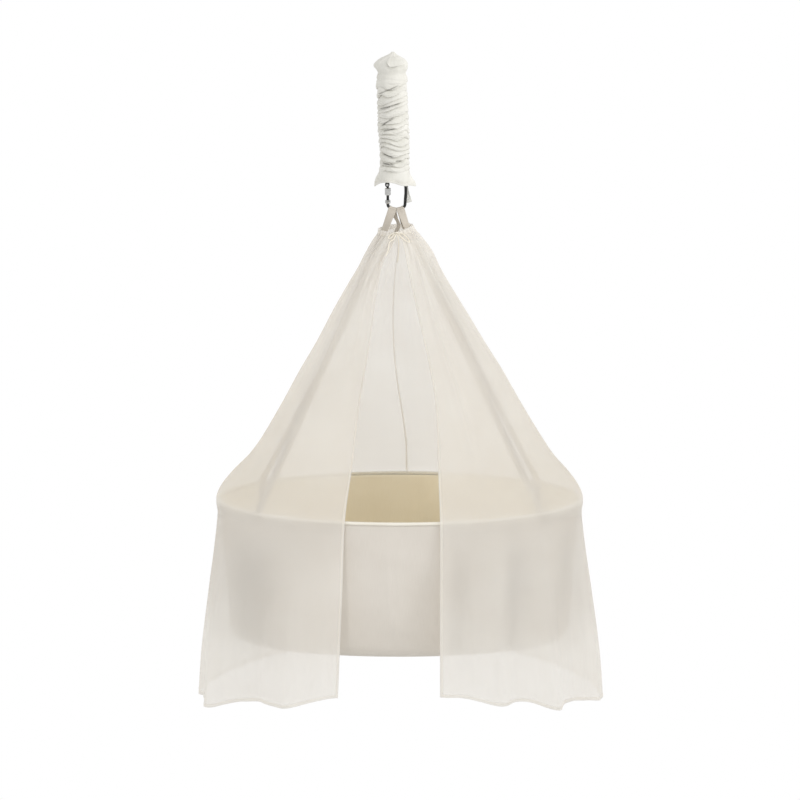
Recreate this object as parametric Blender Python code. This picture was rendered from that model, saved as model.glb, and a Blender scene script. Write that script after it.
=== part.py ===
"""Hanging baby cradle with its sheer crib canopy.

Frame: metres, +Z up, origin at the top tuft of the spring sleeve, where the whole piece is hung.
+X is to the right and -Y towards someone who stands in front of the open curtain.
"""
import math

import bmesh
import bpy
from mathutils import Vector

# Small gap kept between pieces that touch
GAP = 0.0003

# Spring sleeve: a gathered cotton tube, drawn shut at the top
SLEEVE_HEM_Z = -0.3545
SLEEVE_COLS = 20
SLEEVE_RUCHES = 16
SLEEVE_RUCHE_DEPTH = 0.0032
SLEEVE_THROAT_R = 0.0314
TAG_THICK = 0.0010

# Carabiner
BAR_R = 0.0040
CLIP_X = 0.0093
CLIP_HALF_WIDTH = 0.0231
CLIP_TOP_Z = -0.3400
CLIP_LOW_Z = -0.4125
CLIP_LOW_DEPTH = 0.0145
HINGE_X = -0.0152
HINGE_Z = -0.3590
GATE_R = 0.0036
GATE_END_Z = -0.4004
NOSE_R = 0.0075
NOSE_TOP_Z = -0.4008
NOSE_LOW_Z = -0.4110
NUT_R = 0.0080
NUT_BORE_R = 0.0041
NUT_TOP_Z = -0.3681
NUT_LENGTH = 0.0191
RIVET_R = 0.0020

# Webbing that carries the cradle
WEB_WIDTH = 0.022
WEB_LOOP_WIDTH = 0.0150
WEB_THICK = 0.0016
WEB_RIM_X = 0.785
WEB_RIM_Y = 0.620
WEB_DROP = 0.040
STRAP_INSET = 0.0038

# Cradle: centre line, rim and floor
CRADLE_X = 0.0180
RIM_Z = -1.2210
RIM_A = 0.4865
RIM_B = 0.3070
FLOOR_Z = -1.6140
FLOOR_A = 0.4580
FLOOR_B = 0.2360
FLOOR_ROUND = 0.046
WALL_THICK = 0.0020
LINING_THICK = 0.0015
BINDING_HEIGHT = 0.0085
BINDING_OVER = 0.0032
CRADLE_COLS = 48

# Canopy: one sheet from the gathered neck, over the rim and down to the hem
CLOTH_THICK = 0.0015
CANOPY_COLS = 104
NECK_GATHERS = 26
NECK_GATHER_DEPTH = 0.0022
NECK_TILT = 0.125
SKIRT_Z = -1.2240
HEM_Z = -1.7200
HEM_FRONT_Z = -1.7050
HEM_SIDE_DROP = 0.0720
HEM_LIFT = 0.013
HEM_LIFT_FOLD = 0.024

# z, half width, half depth, centre x of the canopy's cross-section
CANOPY_SHAPE = (
    (-0.474, 0.0445, 0.0445, 0.0070),
    (-0.485, 0.0480, 0.0480, 0.0090),
    (-0.500, 0.0620, 0.0600, 0.0140),
    (-0.537, 0.0913, 0.0870, 0.0190),
    (-0.586, 0.1176, 0.1120, 0.0180),
    (-0.696, 0.1763, 0.1580, 0.0170),
    (-0.792, 0.2277, 0.1900, 0.0180),
    (-0.864, 0.2717, 0.2150, 0.0190),
    (-0.960, 0.3267, 0.2450, 0.0200),
    (-1.057, 0.3867, 0.2740, 0.0210),
    (-1.107, 0.4255, 0.2900, 0.0210),
    (-1.150, 0.4680, 0.3060, 0.0200),
    (-1.185, 0.4915, 0.3130, 0.0185),
    (-1.224, 0.4945, 0.3150, 0.0180),
    (-1.338, 0.5050, 0.3160, 0.0180),
    (-1.450, 0.5160, 0.3180, 0.0180),
    (-1.600, 0.5290, 0.3200, 0.0180),
    (-1.720, 0.5370, 0.3220, 0.0180),
)

# z, left edge x, right edge x of the open front
FRONT_OPENING = (
    (-0.474, 0.0078, 0.0098),
    (-0.486, 0.0070, 0.0125),
    (-0.500, 0.0050, 0.0245),
    (-0.569, -0.0292, 0.0403),
    (-0.757, -0.0611, 0.0829),
    (-0.905, -0.0875, 0.1112),
    (-1.066, -0.1074, 0.1191),
    (-1.214, -0.1274, 0.1253),
    (-1.430, -0.1358, 0.1256),
    (-1.720, -0.1471, 0.1260),
)

# heights of the rows of the sheet
CANOPY_ROWS = (-0.474, -0.485, -0.503, -0.555, -0.650, -0.770, -0.900, -1.040, -1.120,
               -1.165, -1.196, -1.236, -1.360, -1.480, -1.610, -1.720)

# angle from the front (degrees), half width (degrees), depth (metres) of each skirt fold
SKIRT_FOLDS = (
    (28.5, 6.0, 0.026), (48.0, 6.0, 0.036), (82.0, 10.0, 0.018), (112.0, 9.0, 0.026),
    (138.0, 8.0, 0.022), (163.0, 9.0, 0.020), (188.0, 8.0, 0.022), (212.0, 9.0, 0.018),
    (238.0, 9.0, 0.026), (264.0, 9.0, 0.014), (294.0, 8.0, 0.032), (327.0, 8.0, 0.032),
)

# Drawstring
CORD_R = 0.0015
KNOT_R = 0.0052


def clear_scene():
    for obj in list(bpy.data.objects):
        bpy.data.objects.remove(obj, do_unlink=True)


def material(name, colour, roughness, metallic=0.0):
    mat = bpy.data.materials.new(name)
    mat.use_nodes = True
    shader = mat.node_tree.nodes["Principled BSDF"]
    shader.inputs["Base Color"].default_value = (*colour, 1.0)
    shader.inputs["Roughness"].default_value = roughness
    shader.inputs["Metallic"].default_value = metallic
    return mat


def add_mesh(name, verts, faces, mat, sharp_deg=50.0, origin=(0.0, 0.0, 0.0)):
    """Make an object from points and faces, with its faces turned outwards."""
    mesh = bpy.data.meshes.new(name)
    centre = Vector(origin)
    mesh.from_pydata([Vector(v) - centre for v in verts], [], faces)
    bm = bmesh.new()
    bm.from_mesh(mesh)
    bmesh.ops.recalc_face_normals(bm, faces=bm.faces[:])
    bm.to_mesh(mesh)
    bm.free()
    mesh.shade_smooth()
    mesh.set_sharp_from_angle(angle=math.radians(sharp_deg))
    mesh.materials.append(mat)
    obj = bpy.data.objects.new(name, mesh)
    obj.location = centre
    bpy.context.scene.collection.objects.link(obj)
    return obj


def add_tube(name, points, radius, mat, cyclic=False, resolution=2):
    """A round bar or cord along a smooth line of points."""
    curve = bpy.data.curves.new(name, "CURVE")
    curve.dimensions = "3D"
    curve.bevel_depth = radius
    curve.bevel_resolution = resolution
    curve.use_fill_caps = True
    curve.resolution_u = 1
    curve.render_resolution_u = 0
    spline = curve.splines.new("POLY")
    spline.points.add(len(points) - 1)
    for point, place in zip(spline.points, points):
        point.co = (*place, 1.0)
    spline.use_cyclic_u = cyclic
    curve.materials.append(mat)
    obj = bpy.data.objects.new(name, curve)
    bpy.context.scene.collection.objects.link(obj)
    return obj


def table_value(table, z, column):
    """Smooth reading of one column of a table whose first column falls with z."""
    for i in range(len(table) - 1):
        if z >= table[i + 1][0] or i == len(table) - 2:
            break
    z0, z1 = table[i][0], table[i + 1][0]
    t = min(1.0, max(0.0, (z0 - z) / (z0 - z1)))
    step = z0 - z1

    def slope(k):
        if k == 0 or k == len(table) - 1:
            return None
        return (table[k + 1][column] - table[k - 1][column]) / (table[k - 1][0] - table[k + 1][0])

    p0, p1 = table[i][column], table[i + 1][column]
    m0 = slope(i)
    m1 = slope(i + 1)
    m0 = (p1 - p0) / step if m0 is None else m0
    m1 = (p1 - p0) / step if m1 is None else m1
    h00 = 2 * t ** 3 - 3 * t ** 2 + 1
    h10 = t ** 3 - 2 * t ** 2 + t
    h01 = -2 * t ** 3 + 3 * t ** 2
    h11 = t ** 3 - t ** 2
    return h00 * p0 + h10 * step * m0 + h01 * p1 + h11 * step * m1


def ease(edge0, edge1, x):
    t = min(1.0, max(0.0, (x - edge0) / (edge1 - edge0)))
    return t * t * (3 - 2 * t)


def ring_faces(first, second, n, closed=True):
    """Quads between two rings of n points whose first indices are given."""
    last = n if closed else n - 1
    return [(first + i, first + (i + 1) % n, second + (i + 1) % n, second + i) for i in range(last)]


def bowl(name, outer, inner, mat, **kw):
    """Closed shell of two surfaces: joined at their first rings, each shut at its last ring."""
    n = len(outer[0])
    verts, faces = [], []
    starts = []
    for rows in (outer, inner):
        block = []
        for row in rows:
            block.append(len(verts))
            verts.extend(row)
        for a, b in zip(block, block[1:]):
            faces.extend(ring_faces(a, b, n))
        centre = [sum(p[k] for p in rows[-1]) / n for k in range(3)]
        verts.append(centre)
        pole = len(verts) - 1
        faces.extend((block[-1] + i, block[-1] + (i + 1) % n, pole) for i in range(n))
        starts.append(block[0])
    faces.extend(ring_faces(starts[0], starts[1], n))
    return add_mesh(name, verts, faces, mat, **kw)


def sheet(name, front, back, mat, **kw):
    """Closed sheet of two equal grids of points, a small thickness apart."""
    rows, cols = len(front), len(front[0])
    verts = [p for row in front for p in row] + [p for row in back for p in row]
    shift = rows * cols
    faces = []
    for r in range(rows - 1):
        for c in range(cols - 1):
            a = r * cols + c
            quad = (a, a + 1, a + cols + 1, a + cols)
            faces.append(quad)
            faces.append(tuple(i + shift for i in reversed(quad)))
    for r in range(rows - 1):
        for c in (0, cols - 1):
            a, b = r * cols + c, (r + 1) * cols + c
            faces.append((a, b, b + shift, a + shift))
    for c in range(cols - 1):
        for r in (0, rows - 1):
            a, b = r * cols + c, r * cols + c + 1
            faces.append((a, b, b + shift, a + shift))
    return add_mesh(name, verts, faces, mat, **kw)


def hoop(name, sections, mat, **kw):
    """Closed ring made of cross-sections that follow each other round."""
    n, k = len(sections), len(sections[0])
    verts = [p for section in sections for p in section]
    faces = []
    for i in range(n):
        a, b = i * k, ((i + 1) % n) * k
        faces.extend((a + j, a + (j + 1) % k, b + (j + 1) % k, b + j) for j in range(k))
    return add_mesh(name, verts, faces, mat, **kw)


def turned(name, profile, axis_x, mat, steps=24, **kw):
    """Ring turned about a vertical line from a closed profile of (radius, z)."""
    sections = []
    for i in range(steps):
        a = 2 * math.pi * i / steps
        sections.append([(axis_x + r * math.cos(a), r * math.sin(a), z) for r, z in profile])
    return hoop(name, sections, mat, **kw)


def extruded(name, outline, y0, y1, mat, **kw):
    """Flat plate: an outline in X and Z between two values of Y."""
    n = len(outline)
    verts = [(x, y0, z) for x, z in outline] + [(x, y1, z) for x, z in outline]
    faces = [tuple(range(n)), tuple(reversed(range(n, 2 * n)))]
    faces.extend((i, (i + 1) % n, n + (i + 1) % n, n + i) for i in range(n))
    return add_mesh(name, verts, faces, mat, **kw)


def rod_y(name, x, z, radius, y0, y1, mat, steps=20):
    outline = [(x + radius * math.cos(2 * math.pi * i / steps),
                z + radius * math.sin(2 * math.pi * i / steps)) for i in range(steps)]
    return extruded(name, outline, y0, y1, mat, sharp_deg=40.0)


def boolean(obj, other, operation):
    mod = obj.modifiers.new(operation.lower(), "BOOLEAN")
    mod.object = other
    mod.operation = operation
    mod.solver = "EXACT"
    other.hide_render = True
    other.display_type = "WIRE"
    return mod


# Spring sleeve
def sleeve_radius(z):
    """Outer radius of the sleeve without its ruches."""
    table = ((0.000, 0.0050), (-0.006, 0.0090), (-0.013, 0.0160), (-0.021, 0.0370),
             (-0.035, 0.0425), (-0.048, 0.0405), (-0.070, 0.0425), (-0.100, 0.0385),
             (-0.160, 0.0392), (-0.240, 0.0390), (-0.300, 0.0372), (-0.322, 0.0405),
             (-0.340, 0.0465), (-0.3545, 0.0478))
    return table_value(table, z, 1)


def sleeve_centre(z):
    """The sleeve leans a little to the right on its way down."""
    return -0.003 * ease(0.0, -0.02, z) + 0.0085 * ease(-0.05, -0.30, z) - 0.0035 * ease(-0.31, -0.35, z)


def build_sleeve(mat):
    n = SLEEVE_COLS
    heights = [0.0, -0.006, -0.013, -0.021, -0.030, -0.042, -0.054, -0.068, -0.080]
    steps = SLEEVE_RUCHES * 2
    top, low = -0.088, -0.322
    heights += [top + (low - top) * i / (steps - 1) for i in range(steps)]
    heights += [-0.333, -0.345, SLEEVE_HEM_Z]
    outer = []
    for k, z in enumerate(heights):
        row = []
        for i in range(n):
            a = 2 * math.pi * i / n
            r = sleeve_radius(z)
            body = ease(-0.075, -0.095, z) * (1.0 - ease(-0.315, -0.325, z))
            ruche = SLEEVE_RUCHE_DEPTH * (1.0 if k % 2 else -1.0)
            ruche *= 0.65 + 0.35 * math.sin(3 * a + 1.7 * k)
            pleat = 0.0016 * math.sin(7 * a + 0.6) * (1.0 - body) * ease(-0.008, -0.03, z)
            frill = 0.0030 * math.sin(6 * a + 1.0) * ease(-0.325, -0.35, z)
            r += ruche * body + pleat + frill
            rise = 0.004 * math.cos(a - 0.3) * body + 0.0018 * math.sin(4 * a + 1) * ease(-0.33, -0.354, z)
            row.append((sleeve_centre(z) + r * math.cos(a), r * math.sin(a), z + rise))
        outer.append(row)
    # the inside is smooth; above the hem it closes on the carabiner's shoulders
    inner_shape = ((SLEEVE_HEM_Z, 0.0440), (-0.351, 0.0410), (-0.3460, 0.0350),
                   (-0.3405, SLEEVE_THROAT_R), (-0.3350, SLEEVE_THROAT_R), (-0.300, 0.0315), (-0.200, 0.0330),
                   (-0.100, 0.0330), (-0.040, 0.0350), (-0.026, 0.0280), (-0.020, 0.0080))
    inner = []
    for z, r in inner_shape:
        shift = sleeve_centre(z) if z > -0.33 else CLIP_X - SLEEVE_THROAT_R + CLIP_HALF_WIDTH + BAR_R + GAP
        row = []
        for i in range(n):
            a = 2 * math.pi * i / n
            frill = 0.0030 * math.sin(6 * a + 1.0) * ease(-0.345, -0.353, z)
            rise = 0.0018 * math.sin(4 * a + 1) * ease(-0.350, -0.354, z)
            row.append((shift + (r + frill) * math.cos(a), (r + frill) * math.sin(a), z + rise))
        inner.append(row)
    return bowl("spring_sleeve", outer[::-1], inner, mat)


def build_tag(mat):
    """Blank ribbon tag sewn inside the sleeve's hem, to the right of the spine."""
    corners = (((0.0305, 0.0175, -0.3445), (0.0372, 0.0070, -0.3445)),
               ((0.0300, 0.0165, -0.3600), (0.0395, 0.0080, -0.3600)),
               ((0.0305, 0.0155, -0.3740), (0.0415, 0.0085, -0.3740)),
               ((0.0375, 0.0125, -0.4117), (0.0515, 0.0085, -0.4060)))
    front = [[Vector(p) for p in row] for row in corners]
    back = [[p + Vector((0.6, 0.8, 0.0)) * TAG_THICK for p in row] for row in front]
    return sheet("blank_tag", front, back, mat)


# Carabiner
def clip_line():
    """Centre line of the bent bar, from the hinge end over the top and round to the nose."""
    left, right = CLIP_X - CLIP_HALF_WIDTH, CLIP_X + CLIP_HALF_WIDTH
    points = [(left, 0.0, HINGE_Z + 0.0095), (left, 0.0, HINGE_Z + 0.0140)]
    for i in range(0, 13):
        a = math.pi - math.pi * i / 12
        points.append((CLIP_X + CLIP_HALF_WIDTH * math.cos(a), 0.0,
                       CLIP_TOP_Z + CLIP_HALF_WIDTH * math.sin(a)))
    for t in (0.2, 0.4, 0.6, 0.8):
        bulge = 0.0022 * math.sin(math.pi * t) ** 2
        points.append((right + bulge, 0.0, CLIP_TOP_Z + (CLIP_LOW_Z - CLIP_TOP_Z) * t))
    for i in range(0, 12):
        a = -math.pi * i / 12
        points.append((CLIP_X + CLIP_HALF_WIDTH * math.cos(a), 0.0,
                       CLIP_LOW_Z + CLIP_LOW_DEPTH * math.sin(a)))
    points.append((left, 0.0, CLIP_LOW_Z))
    points.append((left, 0.0, NOSE_LOW_Z - GAP))
    return points


def build_carabiner(steel, bright):
    add_tube("carabiner_frame", clip_line(), BAR_R, steel, resolution=3)
    gate_x = CLIP_X - CLIP_HALF_WIDTH

    # fork at the end of the bar: two cheeks with the gate's eye between them
    fork_outline = [(gate_x - BAR_R, HINGE_Z + 0.0092), (gate_x + BAR_R, HINGE_Z + 0.0092)]
    for i in range(11):
        a = math.radians(20 - 220 * i / 10)
        fork_outline.append((HINGE_X + 0.0062 * math.cos(a), HINGE_Z + 0.0062 * math.sin(a)))
    fork = extruded("carabiner_fork", fork_outline[::-1], -0.0045, 0.0045, steel, sharp_deg=40.0)
    slot_outline = [(HINGE_X - 0.02, HINGE_Z - 0.02), (HINGE_X + 0.02, HINGE_Z - 0.02),
                    (HINGE_X + 0.02, HINGE_Z + 0.0065), (HINGE_X - 0.02, HINGE_Z + 0.0065)]
    slot = extruded("cut_slot", slot_outline, -0.0020, 0.0020, steel)
    bore = rod_y("cut_bore", HINGE_X, HINGE_Z, RIVET_R + 0.00035, -0.02, 0.02, steel)
    boolean(fork, slot, "DIFFERENCE")
    boolean(fork, bore, "DIFFERENCE")

    # gate: an eye on the rivet and a round rod down to the nose
    eye = rod_y("carabiner_gate", HINGE_X, HINGE_Z, 0.0055, -0.0017, 0.0017, steel)
    rod_profile = []
    for r, z in ((0.0, HINGE_Z - 0.0035), (0.0024, HINGE_Z - 0.0035), (0.0027, HINGE_Z - 0.0066),
                 (GATE_R, HINGE_Z - 0.0092), (GATE_R, GATE_END_Z)):
        rod_profile.append((r, z))
    steps = 16
    verts = [(gate_x, 0.0, rod_profile[0][1])]
    faces = []
    for r, z in rod_profile[1:]:
        for i in range(steps):
            a = 2 * math.pi * i / steps
            squash = 0.60 if z > HINGE_Z - 0.008 else 1.0
            verts.append((gate_x + r * math.cos(a), r * squash * math.sin(a), z))
    faces.extend((0, 1 + (i + 1) % steps, 1 + i) for i in range(steps))
    for k in range(3):
        faces.extend(ring_faces(1 + k * steps, 1 + (k + 1) * steps, steps))
    verts.append((gate_x, 0.0, GATE_END_Z))
    faces.extend((1 + 3 * steps + i, 1 + 3 * steps + (i + 1) % steps, len(verts) - 1) for i in range(steps))
    rod = add_mesh("join_rod", verts, faces, steel, sharp_deg=40.0)
    boolean(eye, rod, "UNION")
    boolean(eye, bore, "DIFFERENCE")

    # rivet with a head on each side
    section = [(0.0, -0.0062), (0.0026, -0.0062), (0.0034, -0.0056), (0.0034, -0.0048),
               (RIVET_R, -0.0048), (RIVET_R, 0.0048), (0.0034, 0.0048), (0.0034, 0.0056),
               (0.0026, 0.0062), (0.0, 0.0062)]
    verts, faces = [], []
    steps = 16
    for r, y in section[1:-1]:
        for i in range(steps):
            a = 2 * math.pi * i / steps
            verts.append((HINGE_X + r * math.cos(a), y, HINGE_Z + r * math.sin(a)))
    rings = len(section) - 2
    for k in range(rings - 1):
        faces.extend(ring_faces(k * steps, (k + 1) * steps, steps))
    faces.append(tuple(range(steps)))
    faces.append(tuple((rings - 1) * steps + i for i in range(steps)))
    add_mesh("carabiner_rivet", verts, faces, bright, sharp_deg=40.0)

    # threaded nose that the gate closes on
    nose_profile = [(0.0, NOSE_TOP_Z - 0.0020), (0.0040, NOSE_TOP_Z - 0.0020), (0.0052, NOSE_TOP_Z),
                    (NOSE_R - 0.0007, NOSE_TOP_Z), (NOSE_R, NOSE_TOP_Z - 0.0010),
                    (NOSE_R, NOSE_LOW_Z + 0.0030), (0.0052, NOSE_LOW_Z), (0.0, NOSE_LOW_Z)]
    verts, faces = [], []
    for r, z in nose_profile[1:-1]:
        for i in range(steps):
            a = 2 * math.pi * i / steps
            verts.append((gate_x + r * math.cos(a), r * math.sin(a), z))
    rings = len(nose_profile) - 2
    for k in range(rings - 1):
        faces.extend(ring_faces(k * steps, (k + 1) * steps, steps))
    faces.append(tuple(range(steps)))
    faces.append(tuple((rings - 1) * steps + i for i in range(steps)))
    add_mesh("carabiner_nose", verts, faces, bright, sharp_deg=40.0)

    # screw nut, turned back off the nose
    low = NUT_TOP_Z - NUT_LENGTH
    nut = [(NUT_BORE_R, NUT_TOP_Z), (NUT_R - 0.0010, NUT_TOP_Z), (NUT_R, NUT_TOP_Z - 0.0012),
           (NUT_R, low + 0.0012), (NUT_R - 0.0010, low), (NUT_BORE_R, low)]
    turned("carabiner_nut", nut, gate_x, bright, steps=20, sharp_deg=40.0)


# Cradle
def cradle_ring(inset, z):
    """Horizontal oval of the cradle at height z, moved inwards by inset."""
    t = min(1.0, max(0.0, (RIM_Z - z) / (RIM_Z - FLOOR_Z)))
    a = RIM_A + (FLOOR_A - RIM_A) * t - inset
    b = RIM_B + (FLOOR_B - RIM_B) * t - inset
    depth = FLOOR_ROUND - (z - FLOOR_Z)
    if depth > 0.0:
        cut = FLOOR_ROUND - math.sqrt(max(0.0, FLOOR_ROUND ** 2 - depth ** 2))
        a -= cut
        b -= cut
    points = []
    for i in range(CRADLE_COLS):
        angle = 2 * math.pi * i / CRADLE_COLS
        points.append((CRADLE_X + a * math.cos(angle), b * math.sin(angle), z))
    return points


def cradle_surface(inset, top):
    """Rings from the rim to the flat of the floor."""
    rows = [cradle_ring(inset, z) for z in (top, -1.390, -1.553)]
    for k in (0.30, 0.60, 0.85, 1.0):
        z = FLOOR_Z + FLOOR_ROUND * (1.0 - math.sin(0.5 * math.pi * k))
        rows.append([(x, y, z + inset) for x, y, _ in cradle_ring(inset, z)])
    return rows


def build_cradle(cotton, lining, binding):
    top = RIM_Z - BINDING_HEIGHT * 0.5
    bowl("cradle_wall", cradle_surface(0.0, top), cradle_surface(WALL_THICK, top), cotton)
    inset = WALL_THICK + GAP + 0.0001
    bowl("cradle_lining", cradle_surface(inset, top), cradle_surface(inset + LINING_THICK, top), lining)
    # rolled binding that covers both top edges
    sections = []
    low, high = top + GAP, top + GAP + BINDING_HEIGHT
    outside, inside = BINDING_OVER, -(WALL_THICK + LINING_THICK + 0.0008)
    for i in range(CRADLE_COLS):
        a = 2 * math.pi * i / CRADLE_COLS
        section = []
        for reach, z in ((outside, low), (outside + 0.0004, (low + high) / 2), (outside - 0.0012, high),
                         (inside + 0.0012, high), (inside - 0.0004, (low + high) / 2), (inside, low)):
            section.append((CRADLE_X + (RIM_A + reach) * math.cos(a), (RIM_B + reach) * math.sin(a), z))
        sections.append(section)
    hoop("cradle_binding", sections, binding)


def wall_point(sx, sy, z, inset):
    """Point at the height z beside the wall where a strap meets it, and the direction of the rim."""
    t = (RIM_Z - z) / (RIM_Z - FLOOR_Z)
    a = RIM_A + (FLOOR_A - RIM_A) * max(0.0, t) - inset
    b = RIM_B + (FLOOR_B - RIM_B) * max(0.0, t) - inset
    point = Vector((CRADLE_X + sx * a * WEB_RIM_X, sy * b * WEB_RIM_Y, z))
    normal = Vector((sx * WEB_RIM_X / a, sy * WEB_RIM_Y / b, 0.0)).normalized()
    return point, Vector((-normal.y, normal.x, 0.0))


def bar_point(angle, around, lift):
    """Point on a tube around the lower bow: angle along the bow, around the bar, lift off it."""
    centre = Vector((CLIP_X + CLIP_HALF_WIDTH * math.cos(angle), 0.0,
                     CLIP_LOW_Z + CLIP_LOW_DEPTH * math.sin(angle)))
    inward = -Vector((math.cos(angle) / CLIP_HALF_WIDTH, 0.0, math.sin(angle) / CLIP_LOW_DEPTH)).normalized()
    reach = BAR_R + lift
    return centre + inward * reach * math.cos(around) + Vector((0.0, 1.0, 0.0)) * reach * math.sin(around)


def strap_leg(start_row, neck, neck_width_dir, sx, sy):
    """Rows of points across the webbing from below the bow to its end inside the cradle."""
    inset = WALL_THICK + LINING_THICK + STRAP_INSET
    top, along = wall_point(sx, sy, RIM_Z + BINDING_HEIGHT * 0.8, inset)
    start = (start_row[0] + start_row[-1]) * 0.5
    first_dir = (start_row[-1] - start_row[0]).normalized()
    if first_dir.dot(along) < 0.0:
        along = -along
    if first_dir.dot(neck_width_dir) < 0.0:
        neck_width_dir = -neck_width_dir
    if neck_width_dir.dot(along) < 0.0:
        along = -along
    rows = []
    for t in (0.45, 1.0):
        centre = start.lerp(neck, t)
        wide = first_dir.lerp(neck_width_dir, t).normalized()
        rows.append((centre, wide, WEB_LOOP_WIDTH + (WEB_WIDTH - WEB_LOOP_WIDTH) * ease(0.0, 0.8, t)))
    for t in (0.06, 0.15, 0.3, 0.5, 0.7, 0.88, 1.0):
        wide = neck_width_dir.lerp(along, ease(0.0, 0.7, t)).normalized()
        rows.append((neck.lerp(top, t), wide, WEB_WIDTH))
    for drop in (0.010, WEB_DROP):
        rows.append((wall_point(sx, sy, RIM_Z - drop, inset)[0], along, WEB_WIDTH))
    return rows


def build_strap(name, middle_deg, legs, mat):
    """One length of webbing hung over the bow, with a leg to the front and one to the back."""
    middle = math.radians(middle_deg)
    half = WEB_LOOP_WIDTH / (CLIP_HALF_WIDTH - BAR_R / 2) / 2
    cols = 4
    loop = []
    for around_deg in (-112, -80, -48, -16, 16, 48, 80, 112):
        around = math.radians(around_deg)
        rows = []
        for lift in (GAP + 0.0002, GAP + 0.0002 + WEB_THICK):
            rows.append([bar_point(middle - half + 2 * half * c / (cols - 1), around, lift)
                         for c in range(cols)])
        loop.append(rows)

    def leg_rows(first, leg):
        neck, wide, sx, sy = leg
        rows = strap_leg([Vector(p) for p in first], Vector(neck), Vector(wide).normalized(), sx, sy)
        result = []
        previous = (Vector(first[0]) + Vector(first[-1])) * 0.5
        for k, (centre, across, width) in enumerate(rows):
            following = rows[k + 1][0] if k + 1 < len(rows) else centre + (centre - previous)
            tangent = (following - previous).normalized()
            across = (across - tangent * across.dot(tangent)).normalized()
            thick = across.cross(tangent).normalized()
            line = [centre + across * width * (c / (cols - 1) - 0.5) for c in range(cols)]
            result.append((line, thick))
            previous = centre
        return result

    def side(rows, outward_hint):
        pair = []
        for line, thick in rows:
            if thick.dot(outward_hint) < 0.0:
                thick = -thick
            pair.append(([p - thick * WEB_THICK / 2 for p in line], [p + thick * WEB_THICK / 2 for p in line]))
            outward_hint = thick
        return pair

    front = side(leg_rows(loop[0][0], legs[0]), Vector((0.0, -1.0, 0.2)))
    back = side(leg_rows(loop[-1][0], legs[1]), Vector((0.0, 1.0, 0.2)))
    grid = front[::-1] + [(rows[0], rows[1]) for rows in loop] + back
    return sheet(name, [row[1] for row in grid], [row[0] for row in grid], mat)


def build_straps(mat):
    build_strap("strap_left", 244.0, (((-0.0168, -0.0240, -0.4770), (0.76, -0.65, 0.10), -1, -1),
                                      ((0.0145, 0.0240, -0.4770), (-0.35, 0.94, 0.0), -1, 1)), mat)
    build_strap("strap_right", 296.0, (((0.0345, -0.0250, -0.4770), (0.86, 0.50, 0.10), 1, -1),
                                       ((0.0345, 0.0250, -0.4770), (0.86, -0.50, 0.10), 1, 1)), mat)


def build_tabs(mat):
    """Short ends of the webbing sewn to the outside of the wall, under the binding."""
    for name, sx, sy in (("rim_tab_front_left", -1, -1), ("rim_tab_front_right", 1, -1),
                         ("rim_tab_back_left", -1, 1), ("rim_tab_back_right", 1, 1)):
        front, back = [], []
        for drop in (0.0050, 0.0200):
            t = drop / (RIM_Z - FLOOR_Z)
            shrink_a = (FLOOR_A - RIM_A) * t
            shrink_b = (FLOOR_B - RIM_B) * t
            rows = ([], [])
            for c in range(5):
                spread = (c / 4 - 0.5) * WEB_WIDTH / 0.388
                angle = math.atan2(sy * WEB_RIM_Y, sx * WEB_RIM_X) + spread
                for row, reach in zip(rows, (0.0007, 0.0007 + WEB_THICK)):
                    row.append((CRADLE_X + (RIM_A + shrink_a + reach) * math.cos(angle),
                                (RIM_B + shrink_b + reach) * math.sin(angle), RIM_Z - drop))
            front.append(rows[1])
            back.append(rows[0])
        sheet(name, front, back, mat)


# Canopy
def canopy_angles(z):
    """Angles from the front, at which the sheet's right and left edges lie."""
    half = table_value(CANOPY_SHAPE, z, 1)
    mid = table_value(CANOPY_SHAPE, z, 3)
    left = table_value(FRONT_OPENING, z, 1)
    right = table_value(FRONT_OPENING, z, 2)
    return (math.asin((right - mid) / half), 2 * math.pi + math.asin((left - mid) / half))


def neck_lean(offset, z):
    """The gathered neck sits a little higher on the right."""
    return NECK_TILT * offset * (1.0 - ease(-0.478, -0.505, z))


def canopy_point(u, z):
    """Point of the sheet's middle: u runs round from the right edge to the left edge."""
    start, stop = canopy_angles(z)
    angle = start + (stop - start) * u
    a = table_value(CANOPY_SHAPE, z, 1)
    b = table_value(CANOPY_SHAPE, z, 2)
    mid = table_value(CANOPY_SHAPE, z, 3)
    gather = NECK_GATHER_DEPTH * (1.0 - ease(-0.50, -0.66, z)) * math.cos(2 * math.pi * NECK_GATHERS * u)
    fold = 0.0
    for centre, width, depth in SKIRT_FOLDS:
        off = (math.degrees(angle) - centre + 180.0) % 360.0 - 180.0
        fold += depth * math.exp(-(off / width) ** 2)
    fold *= ease(-1.22, -1.70, z)
    sweep = 0.004 * math.sin(5 * angle + 0.7) * ease(-0.60, -0.85, z) * (1.0 - ease(-1.05, -1.16, z))
    reach = gather + fold + sweep
    height = z
    if z < SKIRT_Z:
        hem = HEM_FRONT_Z - HEM_SIDE_DROP * math.sin(angle) ** 2 + HEM_LIFT * (1.0 - fold / HEM_LIFT_FOLD)
        height = SKIRT_Z + (z - SKIRT_Z) * (hem - SKIRT_Z) / (HEM_Z - SKIRT_Z)
    x = mid + (a + reach) * math.sin(angle)
    y = -(b + reach) * math.cos(angle)
    return Vector((x, y, height + neck_lean(x - mid, z)))


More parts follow.
